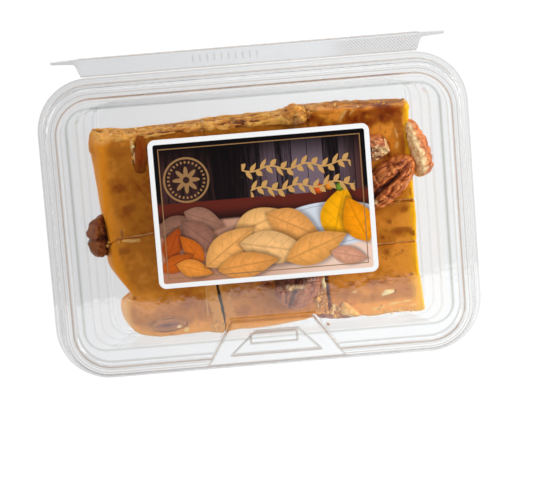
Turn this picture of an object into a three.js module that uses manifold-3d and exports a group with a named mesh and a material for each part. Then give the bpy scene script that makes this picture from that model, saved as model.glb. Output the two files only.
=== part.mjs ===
// A slab of pecan fudge in a shut clear tray with a sealed hinge strip and a label.
// All sizes are in millimetres, +Z is up, +Y is the hinge side, -Y is the lock side.
import * as THREE from "three";
import { mergeVertices } from "three/addons/utils/BufferGeometryUtils.js";
import Module from "manifold-3d";

const wasm = await Module();
wasm.setup();

// Pack
const halfWidth = 88;
const lockEdge = -63;
const hingeEdge = 62.2;
const sheet = 0.5; // wall thickness of the clear sheet
const gap = 0.3; // air between pieces that touch
const flangeRadius = 22;
const cornerSteps = 8;

// Tray
const trayFlangeTop = 31.7;
const floorTop = 1.9;
const footInset = 24.4; // how far the foot's outer edge lies inside the flange's edge
const footWidth = 3;
const wallTopInset = 11.3;
const steepness = 0.08; // how much of the end walls' slope the lock and hinge walls have
const hingeStep = 1.6; // how much further in the wall stands on the hinge side

// Lid
const lidFlangeTop = 32.6;
const lidTop = 41.5;
const panelTop = 38.8;
const lockShift = 1.4; // how much nearer to its edge the ridge runs on the lock side

// Hinge strip
const stripHalfLength = 69;
const stripInner = 62.5;
const stripOuter = 70.2;
const tabTip = 80.4;

// Label
const label = { width: 90.2, depth: 61.7, thickness: 0.25, radius: 3, x: 1.2, y: 4.6 };

// Fudge
const slabBottom = floorTop + gap;
const slabTop = 25.4;
const crackWidth = 0.5;
const slabPoints = 88;

// The frame's origin is the middle of the whole part, so all pieces shift by this much.
const shiftY = -(lockEdge + stripOuter) / 2;

const lerp = (a, b, t) => a + (b - a) * t;
const smooth = (a, b, v) => {
  const t = Math.min(1, Math.max(0, (v - a) / (b - a)));
  return t * t * (3 - 2 * t);
};

// Solids from and to meshes
function solid(geometry) {
  const bare = new THREE.BufferGeometry();
  bare.setAttribute("position", geometry.getAttribute("position"));
  if (geometry.index) bare.setIndex(geometry.index);
  const whole = mergeVertices(bare, 1e-4);
  return new wasm.Manifold(
    new wasm.Mesh({
      numProp: 3,
      vertProperties: new Float32Array(whole.getAttribute("position").array),
      triVerts: new Uint32Array(whole.index.array),
    }),
  );
}

function geometryOf(manifold) {
  const mesh = manifold.getMesh();
  const geometry = new THREE.BufferGeometry();
  geometry.setAttribute("position", new THREE.BufferAttribute(mesh.vertProperties, 3));
  geometry.setIndex(new THREE.BufferAttribute(mesh.triVerts, 1));
  return geometry;
}

// Closes a stack of rings, each with as many points and listed from the bottom up
function loft(rings) {
  const count = rings[0].length;
  const positions = [];
  const triangles = [];
  const centre = (ring) => ring.reduce((s, p) => s.map((v, k) => v + p[k] / count), [0, 0, 0]);
  rings.forEach((ring) => ring.forEach((p) => positions.push(...p)));
  positions.push(...centre(rings[0]), ...centre(rings[rings.length - 1]));
  const low = rings.length * count;
  const last = (rings.length - 1) * count;
  for (let i = 0; i < count; i++) {
    const j = (i + 1) % count;
    for (let level = 0; level < rings.length - 1; level++) {
      const a = level * count;
      const b = a + count;
      triangles.push(a + i, a + j, b + j, a + i, b + j, b + i);
    }
    triangles.push(low, j, i, low + 1, last + i, last + j);
  }
  const geometry = new THREE.BufferGeometry();
  geometry.setAttribute("position", new THREE.Float32BufferAttribute(positions, 3));
  geometry.setIndex(triangles);
  return geometry;
}

// A rectangle with round corners as a ring of points at height z
function roundedRing(x0, x1, y0, y1, radius, z) {
  const ring = [];
  const corners = [
    [x1 - radius, y0 + radius, -90],
    [x1 - radius, y1 - radius, 0],
    [x0 + radius, y1 - radius, 90],
    [x0 + radius, y0 + radius, 180],
  ];
  for (const [cx, cy, start] of corners) {
    for (let k = 0; k <= cornerSteps; k++) {
      const angle = THREE.MathUtils.degToRad(start + (90 * k) / cornerSteps);
      ring.push([cx + radius * Math.cos(angle), cy + radius * Math.sin(angle), z]);
    }
  }
  return ring;
}

// Tray: a steep wall on the lock and hinge sides, a sloped one at each end
const trayRadius = (inset) => Math.max(8, flangeRadius - 1.15 * inset);
const steepInset = (inset) =>
  inset > wallTopInset ? wallTopInset + (inset - wallTopInset) * steepness : inset;

// The lock and hinge sides of the tray, as far in as a wall inset makes them
function traySides(inset) {
  const across = steepInset(inset);
  return [lockEdge + across, hingeEdge - across - (inset < 1 ? 0 : hingeStep)];
}

// A ring of the wall's outer face, or one that lies further in by the same amount all round
function trayRing([inset, z, further = 0]) {
  const [y0, y1] = traySides(inset);
  const x = halfWidth - inset - further;
  return roundedRing(-x, x, y0 + further, y1 - further, trayRadius(inset + further), z);
}

const trayWall = [
  [footInset, 0],
  [footInset - 1, 0.7],
  [22.9, 4.6],
  [20.9, 10],
  [18.8, 15],
  [16.8, 20],
  [15.4, 25],
  [14.3, 29],
  [13.2, 30.6],
  [wallTopInset, 31.2],
];

function makeTray() {
  const outside = [...trayWall, [0, trayFlangeTop - sheet], [0, trayFlangeTop]];
  const inside = trayWall.map(([inset, z], k) => [inset, k < 1 ? z + sheet : z + 0.2, sheet]);
  inside[inside.length - 1] = [wallTopInset, trayFlangeTop + 0.1, 0.2];
  const floor = [
    [footInset, sheet / 2, footWidth],
    [footInset, floorTop, footWidth + 0.6],
  ];
  const recess = [
    [footInset, -0.2, footWidth + sheet],
    [footInset, floorTop - sheet, footWidth + 0.6 + sheet],
  ];
  const body = (rings) => solid(loft(rings.map(trayRing)));
  return body(outside).subtract(body(inside)).add(body(floor)).subtract(body(recess));
}

// How far a point may go towards the tray's wall at height z
function insideTray(x, y, z) {
  let level = 0;
  while (level < trayWall.length - 2 && trayWall[level + 1][1] < z) level++;
  const [insetA, zA] = trayWall[level];
  const [insetB, zB] = trayWall[level + 1];
  const inset = lerp(insetA, insetB, Math.min(1, Math.max(0, (z - zA) / (zB - zA))));
  const clear = sheet + gap + 0.25;
  const radius = trayRadius(inset);
  const x1 = halfWidth - inset - clear;
  const [y0, y1] = traySides(inset).map((y) => y - Math.sign(y) * clear);
  let px = Math.min(x1, Math.max(-x1, x));
  let py = Math.min(y1, Math.max(y0, y));
  const cx = Math.sign(px) * (x1 - radius);
  const cy = py > 0 ? y1 - radius : y0 + radius;
  if ((px - cx) * Math.sign(px) > 0 && (py - cy) * Math.sign(cy) > 0) {
    const distance = Math.hypot(px - cx, py - cy);
    if (distance > radius) {
      px = cx + ((px - cx) * radius) / distance;
      py = cy + ((py - cy) * radius) / distance;
    }
  }
  return [px, py];
}

// Lid: a raised ridge round a sunk panel, and a lock with a bar on the lock side
function lidRing([inset, z]) {
  const shift = inset > 1 ? lockShift : 0;
  const x = halfWidth - inset;
  const radius = Math.max(10, flangeRadius - 0.9 * inset);
  return roundedRing(-x, x, lockEdge + inset - shift, hingeEdge - inset, radius, z);
}

// A four-sided figure that narrows upwards, with its corners kept sharp
function taperedPrism(corners, grow, low, high) {
  const centreX = corners.reduce((s, c) => s + c[0] / corners.length, 0);
  const centreY = corners.reduce((s, c) => s + c[1] / corners.length, 0);
  const ring = (more, z) =>
    corners.map(([x, y]) => [x + Math.sign(x - centreX) * more, y + Math.sign(y - centreY) * more, z]);
  return solid(loft([ring(grow[0], low), ring(grow[1], high)]));
}

const plateau = [
  [-25.5, -59],
  [29, -59],
  [17.8, -42.4],
  [-15.4, -42.4],
];
const well = [
  [-17.2, -56.2],
  [20.6, -56.2],
  [11.4, -46.4],
  [-6.2, -46.4],
];
const bar = { x0: -8.2, x1: 10.6, y0: -51.7, y1: -47.6, radius: 1.6 };

function barSolid(grow, low, high) {
  const ring = (more, z) =>
    roundedRing(bar.x0 - more, bar.x1 + more, bar.y0 - more, bar.y1 + more, bar.radius + more, z);
  return solid(loft([ring(grow + 0.3, low), ring(grow, high)]));
}

function makeLid() {
  const above = lidTop + 0.6;
  const skirt = [
    [0, lidFlangeTop - sheet],
    [0, lidFlangeTop],
    [2.3, lidFlangeTop],
    [2.5, 34.5],
    [3.1, 40.3],
    [3.5, 41.1],
    [4.3, lidTop],
  ];
  const hollow = [
    [2.8, lidFlangeTop - sheet - 0.2],
    [3.0, 34.5],
    [3.6, 40.1],
    [4.0, 40.7],
    [4.7, lidTop - sheet],
  ];
  const pocket = [
    [9.4, panelTop],
    [8.7, panelTop + 0.4],
    [7.9, lidTop - 0.5],
    [7.4, lidTop],
    [7.4, above],
  ];
  const pocketBack = [
    [8.9, panelTop - sheet],
    [8.2, panelTop - 0.1],
    [7.4, lidTop - 0.7],
    [7.0, lidTop],
    [7.0, above],
  ];
  const wellFloor = lidTop - 1.6;
  const barTop = lidTop - 0.3;
  const sunkPanel = solid(loft(pocket.map(lidRing))).subtract(
    taperedPrism(plateau, [1, 0], panelTop - 1, above + 1),
  );
  const sunkPanelBack = solid(loft(pocketBack.map(lidRing))).subtract(
    taperedPrism(plateau, [1 - sheet, -sheet], panelTop - 2, above + 1),
  );
  const sunkWell = taperedPrism(well, [-0.6, 0], wellFloor, above).subtract(
    barSolid(0, wellFloor - 1, barTop),
  );
  const sunkWellBack = taperedPrism(well, [sheet - 0.6, sheet], wellFloor - sheet, above).subtract(
    barSolid(-sheet, wellFloor - 2, barTop - sheet),
  );
  const outside = solid(loft(skirt.map(lidRing))).subtract(sunkPanel).subtract(sunkWell);
  const inside = solid(loft(hollow.map(lidRing))).subtract(sunkPanelBack).subtract(sunkWellBack);
  return outside.subtract(inside);
}

// Hinge strip: two leaves folded together, with a pull tab at each end
function makeStrip() {
  const leaf = 0.45;
  const low = trayFlangeTop - sheet;
  const high = lidFlangeTop;
  const middle = (low + high) / 2;
  const profile = new THREE.Shape([
    new THREE.Vector2(stripInner, low),
    new THREE.Vector2(stripOuter - 0.6, low),
    new THREE.Vector2(stripOuter, middle - 0.2),
    new THREE.Vector2(stripOuter, middle + 0.2),
    new THREE.Vector2(stripOuter - 0.6, high),
    new THREE.Vector2(stripInner, high),
    new THREE.Vector2(stripInner, high - leaf),
    new THREE.Vector2(stripOuter - 0.9, high - leaf),
    new THREE.Vector2(stripOuter - 0.9, low + leaf),
    new THREE.Vector2(stripInner, low + leaf),
  ]);
  const length = 2 * stripHalfLength;
  const folded = new THREE.ExtrudeGeometry(profile, { depth: length, bevelEnabled: false });
  // the profile's plane is turned so that it is drawn in Y and Z and pulled out along X
  folded.applyMatrix4(new THREE.Matrix4().set(0, 0, 1, -stripHalfLength, 1, 0, 0, 0, 0, 1, 0, 0, 0, 0, 0, 1));
  let strip = solid(folded);
  for (const side of [-1, 1]) {
    const tab = new THREE.Shape([
      new THREE.Vector2(side * (stripHalfLength - 1.5), stripOuter - 0.2),
      new THREE.Vector2(side * (stripHalfLength - 1.5), stripOuter - 2.4),
      new THREE.Vector2(side * (tabTip - 1), stripOuter - 1.2),
      new THREE.Vector2(side * tabTip, stripOuter - 0.7),
      new THREE.Vector2(side * (tabTip - 1), stripOuter - 0.3),
    ]);
    const plate = new THREE.ExtrudeGeometry(tab, { depth: high - low - 0.4, bevelEnabled: false });
    plate.translate(0, 0, low + 0.2);
    strip = strip.add(solid(plate));
  }
  return strip;
}

function makeLabel() {
  const { width, depth, thickness, radius, x, y } = label;
  const z = panelTop + gap;
  const ring = (height) =>
    roundedRing(x - width / 2, x + width / 2, y - depth / 2, y + depth / 2, radius, height);
  return solid(loft([ring(z), ring(z + thickness)]));
}

// Fudge: one pressed slab, broken along cracks into blocks.
// Each corner of its outline is [x, y, how far the side bulges below its top edge].
const slabOutline = [
  [-62.2, 36.8, 5.6],
  [-63.4, 28, 5.2],
  [-63.8, 18, 3.0],
  [-63.6, 6, 2.2],
  [-63.0, -4, 1.8],
  [-62.4, -12, 2.4],
  [-61.8, -18, 2.8],
  [-60.0, -23.5, 2.4],
  [-57.0, -28.6, 1.4],
  [-55.6, -31.8, 1.2],
  [-58.2, -34.6, 2.4],
  [-59.0, -38, 2.4],
  [-58.0, -43.6, 2.2],
  [-55.2, -47.8, 1.6],
  [-50, -49.2, 0.4],
  [-38, -49.6, 0.3],
  [-26, -49.2, 0.3],
  [-20, -50.2, 0.2],
  [-13, -48.8, 0.3],
  [2, -47.8, 0.4],
  [14, -46.6, 0.4],
  [22, -46.4, 0.2],
  [36, -46.8, 0.2],
  [42, -48.2, 0.3],
  [52, -47.6, 0.4],
  [60, -47.8, 0.4],
  [64.6, -48, 0.4],
  [64.2, -40, 0.5],
  [63.2, -28, 0.3],
  [63.2, -16, 0.4],
  [63.7, -6, 0.3],
  [63.3, 6, 0.5],
  [63.3, 20, 0.3],
  [63.3, 32, 0.6],
  [62.9, 38.8, 0.4],
  [55, 39.4, 0.8],
  [44, 39.8, 0.6],
  [33, 40, 0.9],
  [24, 40.3, 0.4],
  [18, 39.9, 1.2],
  [11, 38.7, 0.6],
  [0, 38, 1.0],
  [-10, 38, 0.5],
  [-20, 37.6, 0.9],
  [-32, 36.8, 0.4],
  [-44, 36.4, 0.8],
  [-55, 36.2, 0.4],
];

const ripple = (x, y, size) =>
  Math.sin(x / size + 1.3 * Math.sin(y / size)) * Math.cos(y / (0.8 * size) - 0.7 * Math.sin(x / size));

const slabHeight = (x, y) => {
  const worn = 4.6 * smooth(-44, -60, x) * smooth(-24, -42, y);
  const lockSide = 0.9 * smooth(48, 64, x) * smooth(-30, -47, y);
  const crust = 0.7 * smooth(32, 35, y) * (0.6 + 0.4 * ripple(x, y, 3));
  const knob = 1.9 * Math.exp(-((x - 17.5) ** 2 + (y - 37.5) ** 2) / 16);
  const swell = 0.4 * smooth(10, 50, x) * smooth(-40, 0, y);
  return slabTop - worn - lockSide + crust + knob + swell + 0.25 * ripple(x, y, 7);
};

// The outline as evenly spread points, each with its bulge and its outward direction
function spreadOutline() {
  const curve = new THREE.CatmullRomCurve3(
    slabOutline.map(([x, y, bulge]) => new THREE.Vector3(x, y, bulge)),
    true,
    "centripetal",
  );
  const step = 1e-3;
  return Array.from({ length: slabPoints }, (_, k) => {
    const t = k / slabPoints;
    const p = curve.getPoint(t);
    const q = curve.getPoint((t + step) % 1);
    const along = new THREE.Vector2(q.x - p.x, q.y - p.y).normalize();
    return { x: p.x, y: p.y, bulge: p.z, nx: along.y, ny: -along.x };
  });
}

function makeSlab() {
  const outline = spreadOutline();
  const sideLevels = [
    [0, -0.8],
    [0.05, -0.2],
    [0.2, 0.4],
    [0.45, 1],
    [0.7, 0.7],
    [0.93, 0.15],
  ];
  const rings = sideLevels.map(([up, out]) =>
    outline.map(({ x, y, bulge, nx, ny }) => {
      const z = lerp(slabBottom, slabHeight(x, y) - 0.2, up);
      const away = out < 0 ? out : out * bulge;
      const [px, py] = insideTray(x + nx * away, y + ny * away * 0.4, z);
      return [px, py, z];
    }),
  );
  const topLevels = [0.6, 3, 7, 14, 26];
  for (const inward of topLevels) {
    const ring = outline.map(({ x, y }) => {
      const px = x * (1 - inward / 62);
      const py = (y + 4) * (1 - inward / 42) - 4;
      return [px, py, slabHeight(px, py)];
    });
    rings.push(ring);
  }
  return solid(loft(rings));
}

// Cracks between the blocks, as lines seen from above
const far = 90;
const crackLeft = [[-21.4, far], [-21, 36], [-20.4, 0], [-20.1, -30.8], [-18.5, -42], [-17.8, -far]];
const crackRight = [[21.2, far], [21.8, 39], [23.3, 0], [24.9, -30], [25.9, -44.6], [26.2, -far]];
const crackAcross = [
  [-far, -11.8],
  [-65, -11],
  [-61.7, -8.2],
  [-59.5, -6.9],
  [-50.4, -6.4],
  [-44, -5.7],
  [-20.4, -4.5],
  [23.3, -2],
  [47.8, -1.6],
  [51.7, -0.4],
  [far, -0.4],
];
const crackFine = [[-far, -18.6], [47.7, -18.1], [far, -17.4]];
const edgeWest = [[-far, far], [-far, -far]];
const edgeEast = [[far, far], [far, -far]];
const edgeSouth = [[-far, -far], [far, -far]];
const edgeNorth = [[-far, far], [far, far]];

// The room between two crack lines, less half a crack on each side
function between(first, second, widths, upright) {
  const nudge = (line, amount) => line.map(([x, y]) => (upright ? [x + amount, y] : [x, y + amount]));
  const a = nudge(first, widths[0] / 2);
  const b = nudge(second, -widths[1] / 2).reverse();
  const shape = new THREE.Shape([...a, ...b].map(([x, y]) => new THREE.Vector2(x, y)));
  return solid(new THREE.ExtrudeGeometry(shape, { depth: 60, bevelEnabled: false }));
}

const wide = 2 * crackWidth;
const columns = {
  left: between(edgeWest, crackLeft, [0, crackWidth], true),
  middle: between(crackLeft, crackRight, [crackWidth, wide], true),
  right: between(crackRight, edgeEast, [wide, 0], true),
};
const rows = {
  lock: between(edgeSouth, crackAcross, [0, crackWidth], false),
  hinge: between(crackAcross, edgeNorth, [wide, 0], false),
  lock_outer: between(edgeSouth, crackFine, [0, 0.8 * crackWidth], false),
  lock_inner: between(crackFine, crackAcross, [0.8 * crackWidth, crackWidth], false),
};
const blocks = {
  fudge_left_hinge: [columns.left, rows.hinge],
  fudge_left_lock: [columns.left, rows.lock],
  fudge_middle_hinge: [columns.middle, rows.hinge],
  fudge_middle_lock: [columns.middle, rows.lock],
  fudge_right_hinge: [columns.right, rows.hinge],
  fudge_right_centre: [columns.right, rows.lock_inner],
  fudge_right_lock: [columns.right, rows.lock_outer],
};

// Pecans: halves with two lobes and a groove along them, some of them broken.
// place is the middle of the piece, turn is its angles in degrees about X, then Y, then Z,
// and broken is how much of the length is missing at its far end.
const pecans = {
  pecan_face_right: { size: [27, 14.5, 7], place: [53.6, 8.6, 26.2], turn: [0, -3, 40], broken: 0 },
  pecan_face_piece: { size: [19, 10.5, 6], place: [50.0, 22.6, 26.2], turn: [8, 4, -17], broken: 0.2 },
  pecan_face_lock: { size: [28, 18.5, 7], place: [14.2, -28.2, 25.6], turn: [0, 3, 66], broken: 0 },
  pecan_side_right: { size: [24, 13, 6.8], place: [64.9, 21, 24], turn: [108, 0, 101], broken: 0 },
  pecan_side_left: { size: [19, 17, 6.2], place: [-65.2, -5.4, 21.2], turn: [0, -110, 0], broken: 0 },
  pecan_lock_side: { size: [26, 10.5, 4], place: [29.6, -46, 12.6], turn: [-90, 7, 180], broken: 0.16 },
  pecan_sliver_lock: { size: [15, 5, 2.4], place: [-41.4, -44.6, 24.6], turn: [0, 2, 2], broken: 0 },
  pecan_sliver_hinge: { size: [15, 5.6, 2.4], place: [-47.4, 28, 24.9], turn: [0, 0, 84], broken: 0 },
};

function pecanBody([length, width, height], grow) {
  const around = 16;
  const stations = 9;
  const rings = [];
  for (let s = 0; s < stations; s++) {
    const t = lerp(0.015, 0.985, s / (stations - 1));
    const swell = Math.sin(Math.PI * t) ** 0.62 * (1 + 0.12 * Math.cos(Math.PI * t));
    const x = (t - 0.5) * (length + 2 * grow);
    const ring = [];
    for (let k = 0; k < around; k++) {
      const angle = (2 * Math.PI * k) / around;
      const across = Math.cos(angle);
      const up = Math.sin(angle);
      const groove = 1 - 0.34 * Math.exp(-((across / 0.22) ** 2));
      const lobe = 1 - 0.05 * Math.cos(6 * angle) * swell;
      const rise = (up > 0 ? height : 0.4 * height) * groove * lobe;
      ring.push([x, across * (width / 2 + grow) * swell, up * (rise + grow) * (0.35 + 0.65 * swell)]);
    }
    rings.push(ring);
  }
  const geometry = loft(rings.map((ring) => ring.map(([x, y, z]) => [y, z, x])));
  // the rings are stacked along their third axis, which becomes X here
  geometry.applyMatrix4(new THREE.Matrix4().set(0, 0, 1, 0, 1, 0, 0, 0, 0, 1, 0, 0, 0, 0, 0, 1));
  return geometry;
}

function makePecan({ size, place, turn, broken }, grow) {
  let piece = solid(pecanBody(size, grow));
  if (broken > 0) {
    const cutter = new THREE.BoxGeometry(size[0], 3 * size[1], 6 * size[2]);
    cutter.rotateZ(0.25);
    cutter.rotateY(0.3);
    cutter.translate(size[0] * (1 - broken) + 1.5 * grow, 0, 0);
    piece = piece.subtract(solid(cutter));
  }
  const [ax, ay, az] = turn.map(THREE.MathUtils.degToRad);
  const matrix = new THREE.Matrix4()
    .makeTranslation(...place)
    .multiply(new THREE.Matrix4().makeRotationFromEuler(new THREE.Euler(ax, ay, az, "ZYX")));
  const geometry = geometryOf(piece);
  geometry.applyMatrix4(matrix);
  return solid(geometry);
}

// Assembly
const part = new THREE.Group();
part.name = "pecan_fudge_pack";

function addNode(name, manifold, colour, look = {}) {
  const geometry = geometryOf(manifold);
  geometry.translate(0, shiftY, 0);
  geometry.computeVertexNormals();
  const material = new THREE.MeshStandardMaterial({ color: colour, roughness: 0.5, ...look });
  const mesh = new THREE.Mesh(geometry, material);
  mesh.name = name;
  part.add(mesh);
}

const clear = { transparent: true, opacity: 0.3, roughness: 0.1 };
addNode("tray", makeTray(), 0xf2f4f4, clear);
addNode("lid", makeLid(), 0xf2f4f4, clear);
addNode("tear_strip", makeStrip(), 0xe6e8e8, clear);
addNode("label", makeLabel(), 0x3a2420);

const slab = makeSlab();
const pockets = Object.values(pecans).map((pecan) => makePecan(pecan, gap + 0.15));
for (const [name, [column, row]] of Object.entries(blocks)) {
  let block = slab.intersect(column).intersect(row);
  for (const pocket of pockets) block = block.subtract(pocket);
  addNode(name, block, 0xc98f4e);
}
for (const [name, pecan] of Object.entries(pecans)) addNode(name, makePecan(pecan, 0), 0x8c4a2c);

export default part;
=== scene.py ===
import math
import bpy
import bmesh
import numpy as np
from contextlib import contextmanager
from functools import partial
from mathutils import Matrix, Vector


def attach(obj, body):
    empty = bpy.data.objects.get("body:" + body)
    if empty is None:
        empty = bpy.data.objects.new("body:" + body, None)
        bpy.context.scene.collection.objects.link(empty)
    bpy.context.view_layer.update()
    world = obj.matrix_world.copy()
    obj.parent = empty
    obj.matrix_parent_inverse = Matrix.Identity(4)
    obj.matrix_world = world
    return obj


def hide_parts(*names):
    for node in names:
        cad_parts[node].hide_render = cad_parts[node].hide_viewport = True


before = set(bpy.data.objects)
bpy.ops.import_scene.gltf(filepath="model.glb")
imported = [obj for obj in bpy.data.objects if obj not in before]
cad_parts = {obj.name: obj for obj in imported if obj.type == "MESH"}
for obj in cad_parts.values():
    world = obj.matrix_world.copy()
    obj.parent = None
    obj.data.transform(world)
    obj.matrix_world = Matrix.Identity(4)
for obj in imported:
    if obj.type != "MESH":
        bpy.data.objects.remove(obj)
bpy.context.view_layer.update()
mm = 0.001
packShift = np.array([0, 3.6, 0])  # how far the pack's middle lies towards the lock, in mm
print("frame loaded")


# Small helpers for shader trees

def srgb(*shades):
    return (*(v / 12.92 if v <= 0.04045 else ((v + 0.055) / 1.055) ** 2.4 for v in np.array(shades) / 255), 1.0)


def palette(**shades):
    return {name: srgb(*shade) for name, shade in shades.items()}


def grey(value):
    return (value, value, value, 1.0)


def fill(node, values):
    # links each input to a socket, or sets it
    for key, value in values.items():
        if isinstance(value, bpy.types.NodeSocket):
            node.id_data.links.new(value, node.inputs[key])
        else:
            node.inputs[key].default_value = value


def addNode(tree, kind, values=None, **settings):
    made = tree.nodes.new(kind)
    for name, value in settings.items():
        setattr(made, name, value)
    fill(made, values or {})
    return made.outputs


def calc(operation, *values):
    tree = next(v.id_data for v in values if isinstance(v, bpy.types.NodeSocket))
    return addNode(tree, "ShaderNodeMath", dict(enumerate(values)), operation=operation)[0]


plus, minus, times, over, higher, lower, absolute, squareRoot = (partial(calc, operation) for operation in (
    "ADD", "SUBTRACT", "MULTIPLY", "DIVIDE", "MAXIMUM", "MINIMUM", "ABSOLUTE", "SQRT"))


def fade(value, low, high, toLow=0.0, toHigh=1.0):
    values = {"Value": value, "From Min": low, "From Max": high, "To Min": toLow, "To Max": toHigh}
    return addNode(value.id_data, "ShaderNodeMapRange", values, interpolation_type="SMOOTHSTEP")[0]


def layered(color, *layers):
    # paints each (share, color) over the ones before it
    for share, paint in layers:
        color = addNode(share.id_data, "ShaderNodeMix", {0: share, 6: color, 7: paint}, data_type="RGBA")[2]
    return color


def noise(vector, scale, detail=2.0, roughness=0.5):
    values = {"Vector": vector, "Scale": scale, "Detail": detail, "Roughness": roughness}
    return addNode(vector.id_data, "ShaderNodeTexNoise", values)["Fac"]


def stretched(vector, scale, location=(0, 0, 0)):
    values = {"Vector": vector, "Scale": scale, "Location": location}
    return addNode(vector.id_data, "ShaderNodeMapping", values)[0]


def bump(height, strength, distance):
    values = {"Strength": strength, "Distance": distance, "Height": height}
    return addNode(height.id_data, "ShaderNodeBump", values)[0]


def splitUp(vector):
    return addNode(vector.id_data, "ShaderNodeSeparateXYZ", {0: vector})


def newMaterial(name):
    material = bpy.data.materials.new(name)
    material.use_nodes = True
    tree = material.node_tree
    mark = lambda stored, output="Fac": addNode(tree, "ShaderNodeAttribute", attribute_name=stored)[output]
    return material, mark, addNode(tree, "ShaderNodeTexCoord")["Object"], tree.nodes["Principled BSDF"]


def newGroup(name, inputs, outputs):
    # inputs are vectors where no value is given, and numbers otherwise
    tree = bpy.data.node_groups.new(name, "ShaderNodeTree")
    for label, value in inputs.items():
        kind = "NodeSocketVector" if value is None else "NodeSocketFloat"
        socket = tree.interface.new_socket(label, in_out="INPUT", socket_type=kind)
        if value is not None:
            socket.default_value = value
    for label in outputs:
        tree.interface.new_socket(label, in_out="OUTPUT", socket_type="NodeSocketFloat")
    return tree, tree.nodes.new("NodeGroupInput").outputs, tree.nodes.new("NodeGroupOutput")


def useGroup(group, values):
    made = values["Vector"].id_data.nodes.new("ShaderNodeGroup")
    made.node_tree = group
    fill(made, values)
    return made.outputs


# Small helpers for meshes

def smoothFaces(mesh, smooth=True):
    mesh.polygons.foreach_set("use_smooth", [smooth] * len(mesh.polygons))


def newPiece(name, vertices, faces):
    mesh = bpy.data.meshes.new(name)
    mesh.from_pydata([tuple(v) for v in vertices], [], faces)
    mesh.validate()
    smoothFaces(mesh)
    piece = bpy.data.objects.new(name, mesh)
    bpy.context.scene.collection.objects.link(piece)
    return piece


def applyModifiers(piece):
    bpy.context.view_layer.update()
    shaped = piece.evaluated_get(bpy.context.evaluated_depsgraph_get())
    mesh = bpy.data.meshes.new_from_object(shaped)
    piece.modifiers.clear()
    piece.data = mesh
    smoothFaces(mesh)


def addModifier(piece, kind, **settings):
    made = piece.modifiers.new(kind.lower(), kind)
    for name, value in settings.items():
        setattr(made, name, value)
    return made


def makeEven(piece, voxel, rounds):
    # remeshes into even small faces and smooths off their steps
    addModifier(piece, "REMESH", mode="VOXEL", voxel_size=voxel * mm)
    addModifier(piece, "SMOOTH", iterations=rounds)
    applyModifiers(piece)


def thicken(piece, thickness, even):
    addModifier(piece, "SOLIDIFY", thickness=thickness * mm, offset=-1, use_even_offset=even)
    applyModifiers(piece)


@contextmanager
def editing(mesh):
    work = bmesh.new()
    work.from_mesh(mesh)
    yield work
    work.to_mesh(mesh)
    work.free()


def readVectors(items, name):
    found = np.empty(len(items) * 3)
    items.foreach_get(name, found)
    return found.reshape(-1, 3)


def points(piece):
    return readVectors(piece.data.vertices, "co")


def normals(piece):
    return readVectors(piece.data.vertex_normals, "vector")


def placePoints(piece, places):
    piece.data.vertices.foreach_set("co", np.ascontiguousarray(places).ravel())
    piece.data.update()


def storeMarks(piece, marks):
    for name, values in marks.items():
        layer = piece.data.attributes.new(name, "FLOAT", "POINT")
        layer.data.foreach_set("value", np.asarray(values, np.float32))


def ringFaces(levels, count, closed=True, turned=False):
    # faces of four corners between each ring of points and the next
    faces = []
    for a in (level * count + i for level in range(levels - 1) for i in range(count if closed else count - 1)):
        b = a + 1 if (a + 1) % count else a + 1 - count
        faces.append((a, a + count, b + count, b) if turned else (a, b, b + count, a + count))
    return faces


def solidFaces(levels, count):
    ends = [list(range(count))[::-1], list(range((levels - 1) * count, levels * count))]
    return ringFaces(levels, count) + ends


def finishPiece(piece, material, slot, *nodes):
    piece.data.materials.clear()
    piece.data.materials.append(material)
    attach(piece, "root")
    if nodes:
        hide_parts(*nodes)


def ramp(low, high, value):
    share = np.clip((value - low) / (high - low), 0, 1)
    return share * share * (3 - 2 * share)


def bell(away, wide):
    return np.exp(-(away / wide) ** 2)


def randomField(places, apart, seed=0):
    # smooth random values from -1 to 1 over places, about as far apart as said
    cell = places / apart
    low = np.floor(cell).astype(np.int64)
    part = cell - low
    part = part * part * (3 - 2 * part)
    total = np.zeros(len(places))
    for corner in range(8):
        step = np.array([corner & 1, corner >> 1 & 1, corner >> 2 & 1])
        at = low + step
        key = (at[:, 0] * 73856093) ^ (at[:, 1] * 19349663) ^ (at[:, 2] * 83492791) ^ (seed * 7919 + 17)
        key = ((key ^ (key >> 13)) * 1274126177) & 0xFFFFFFFF
        key = key ^ (key >> 16)
        value = (key & 0xFFFF) / 32767.5 - 1
        total += value * np.prod(np.where(step == 1, part, 1 - part), axis=1)
    return total


def fieldOver(places):
    # the random field over these places, with other axis scales where given
    return lambda apart, seed, *scales: randomField(places * (scales or 1), apart, seed)


def awayFromLine(x, y, line):
    # distance to a line of corners, and 1 to its left or -1 to its right
    best = np.full(len(x), 1e9)
    side = np.zeros(len(x))
    for (ax, ay), (bx, by) in zip(line, line[1:]):
        dx, dy = bx - ax, by - ay
        along = np.clip(((x - ax) * dx + (y - ay) * dy) / (dx * dx + dy * dy), 0, 1)
        gapX, gapY = x - ax - along * dx, y - ay - along * dy
        away = np.hypot(gapX, gapY)
        nearer = away < best
        best = np.where(nearer, away, best)
        side = np.where(nearer, np.sign(dx * gapY - dy * gapX), side)
    return best, side


def patchField(places, patches, rough, seed):
    # patches are (x, y, half sizes, strength and, where it is turned, its turn)
    field = fieldOver(places)
    wander = field(1.7, seed) + 0.5 * field(0.8, seed + 1)
    found = np.zeros(len(places))
    for cx, cy, halfX, halfY, strength, *turn in patches:
        turn = sum(turn)
        dx, dy = places[:, 0] - cx, places[:, 1] - cy
        px = dx * math.cos(turn) + dy * math.sin(turn)
        py = dy * math.cos(turn) - dx * math.sin(turn)
        away = np.hypot(px / halfX, py / halfY) + rough * wander
        found = np.maximum(found, strength * (1 - ramp(0.55, 1.25, away)))
    return found


# Clear sheet

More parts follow.
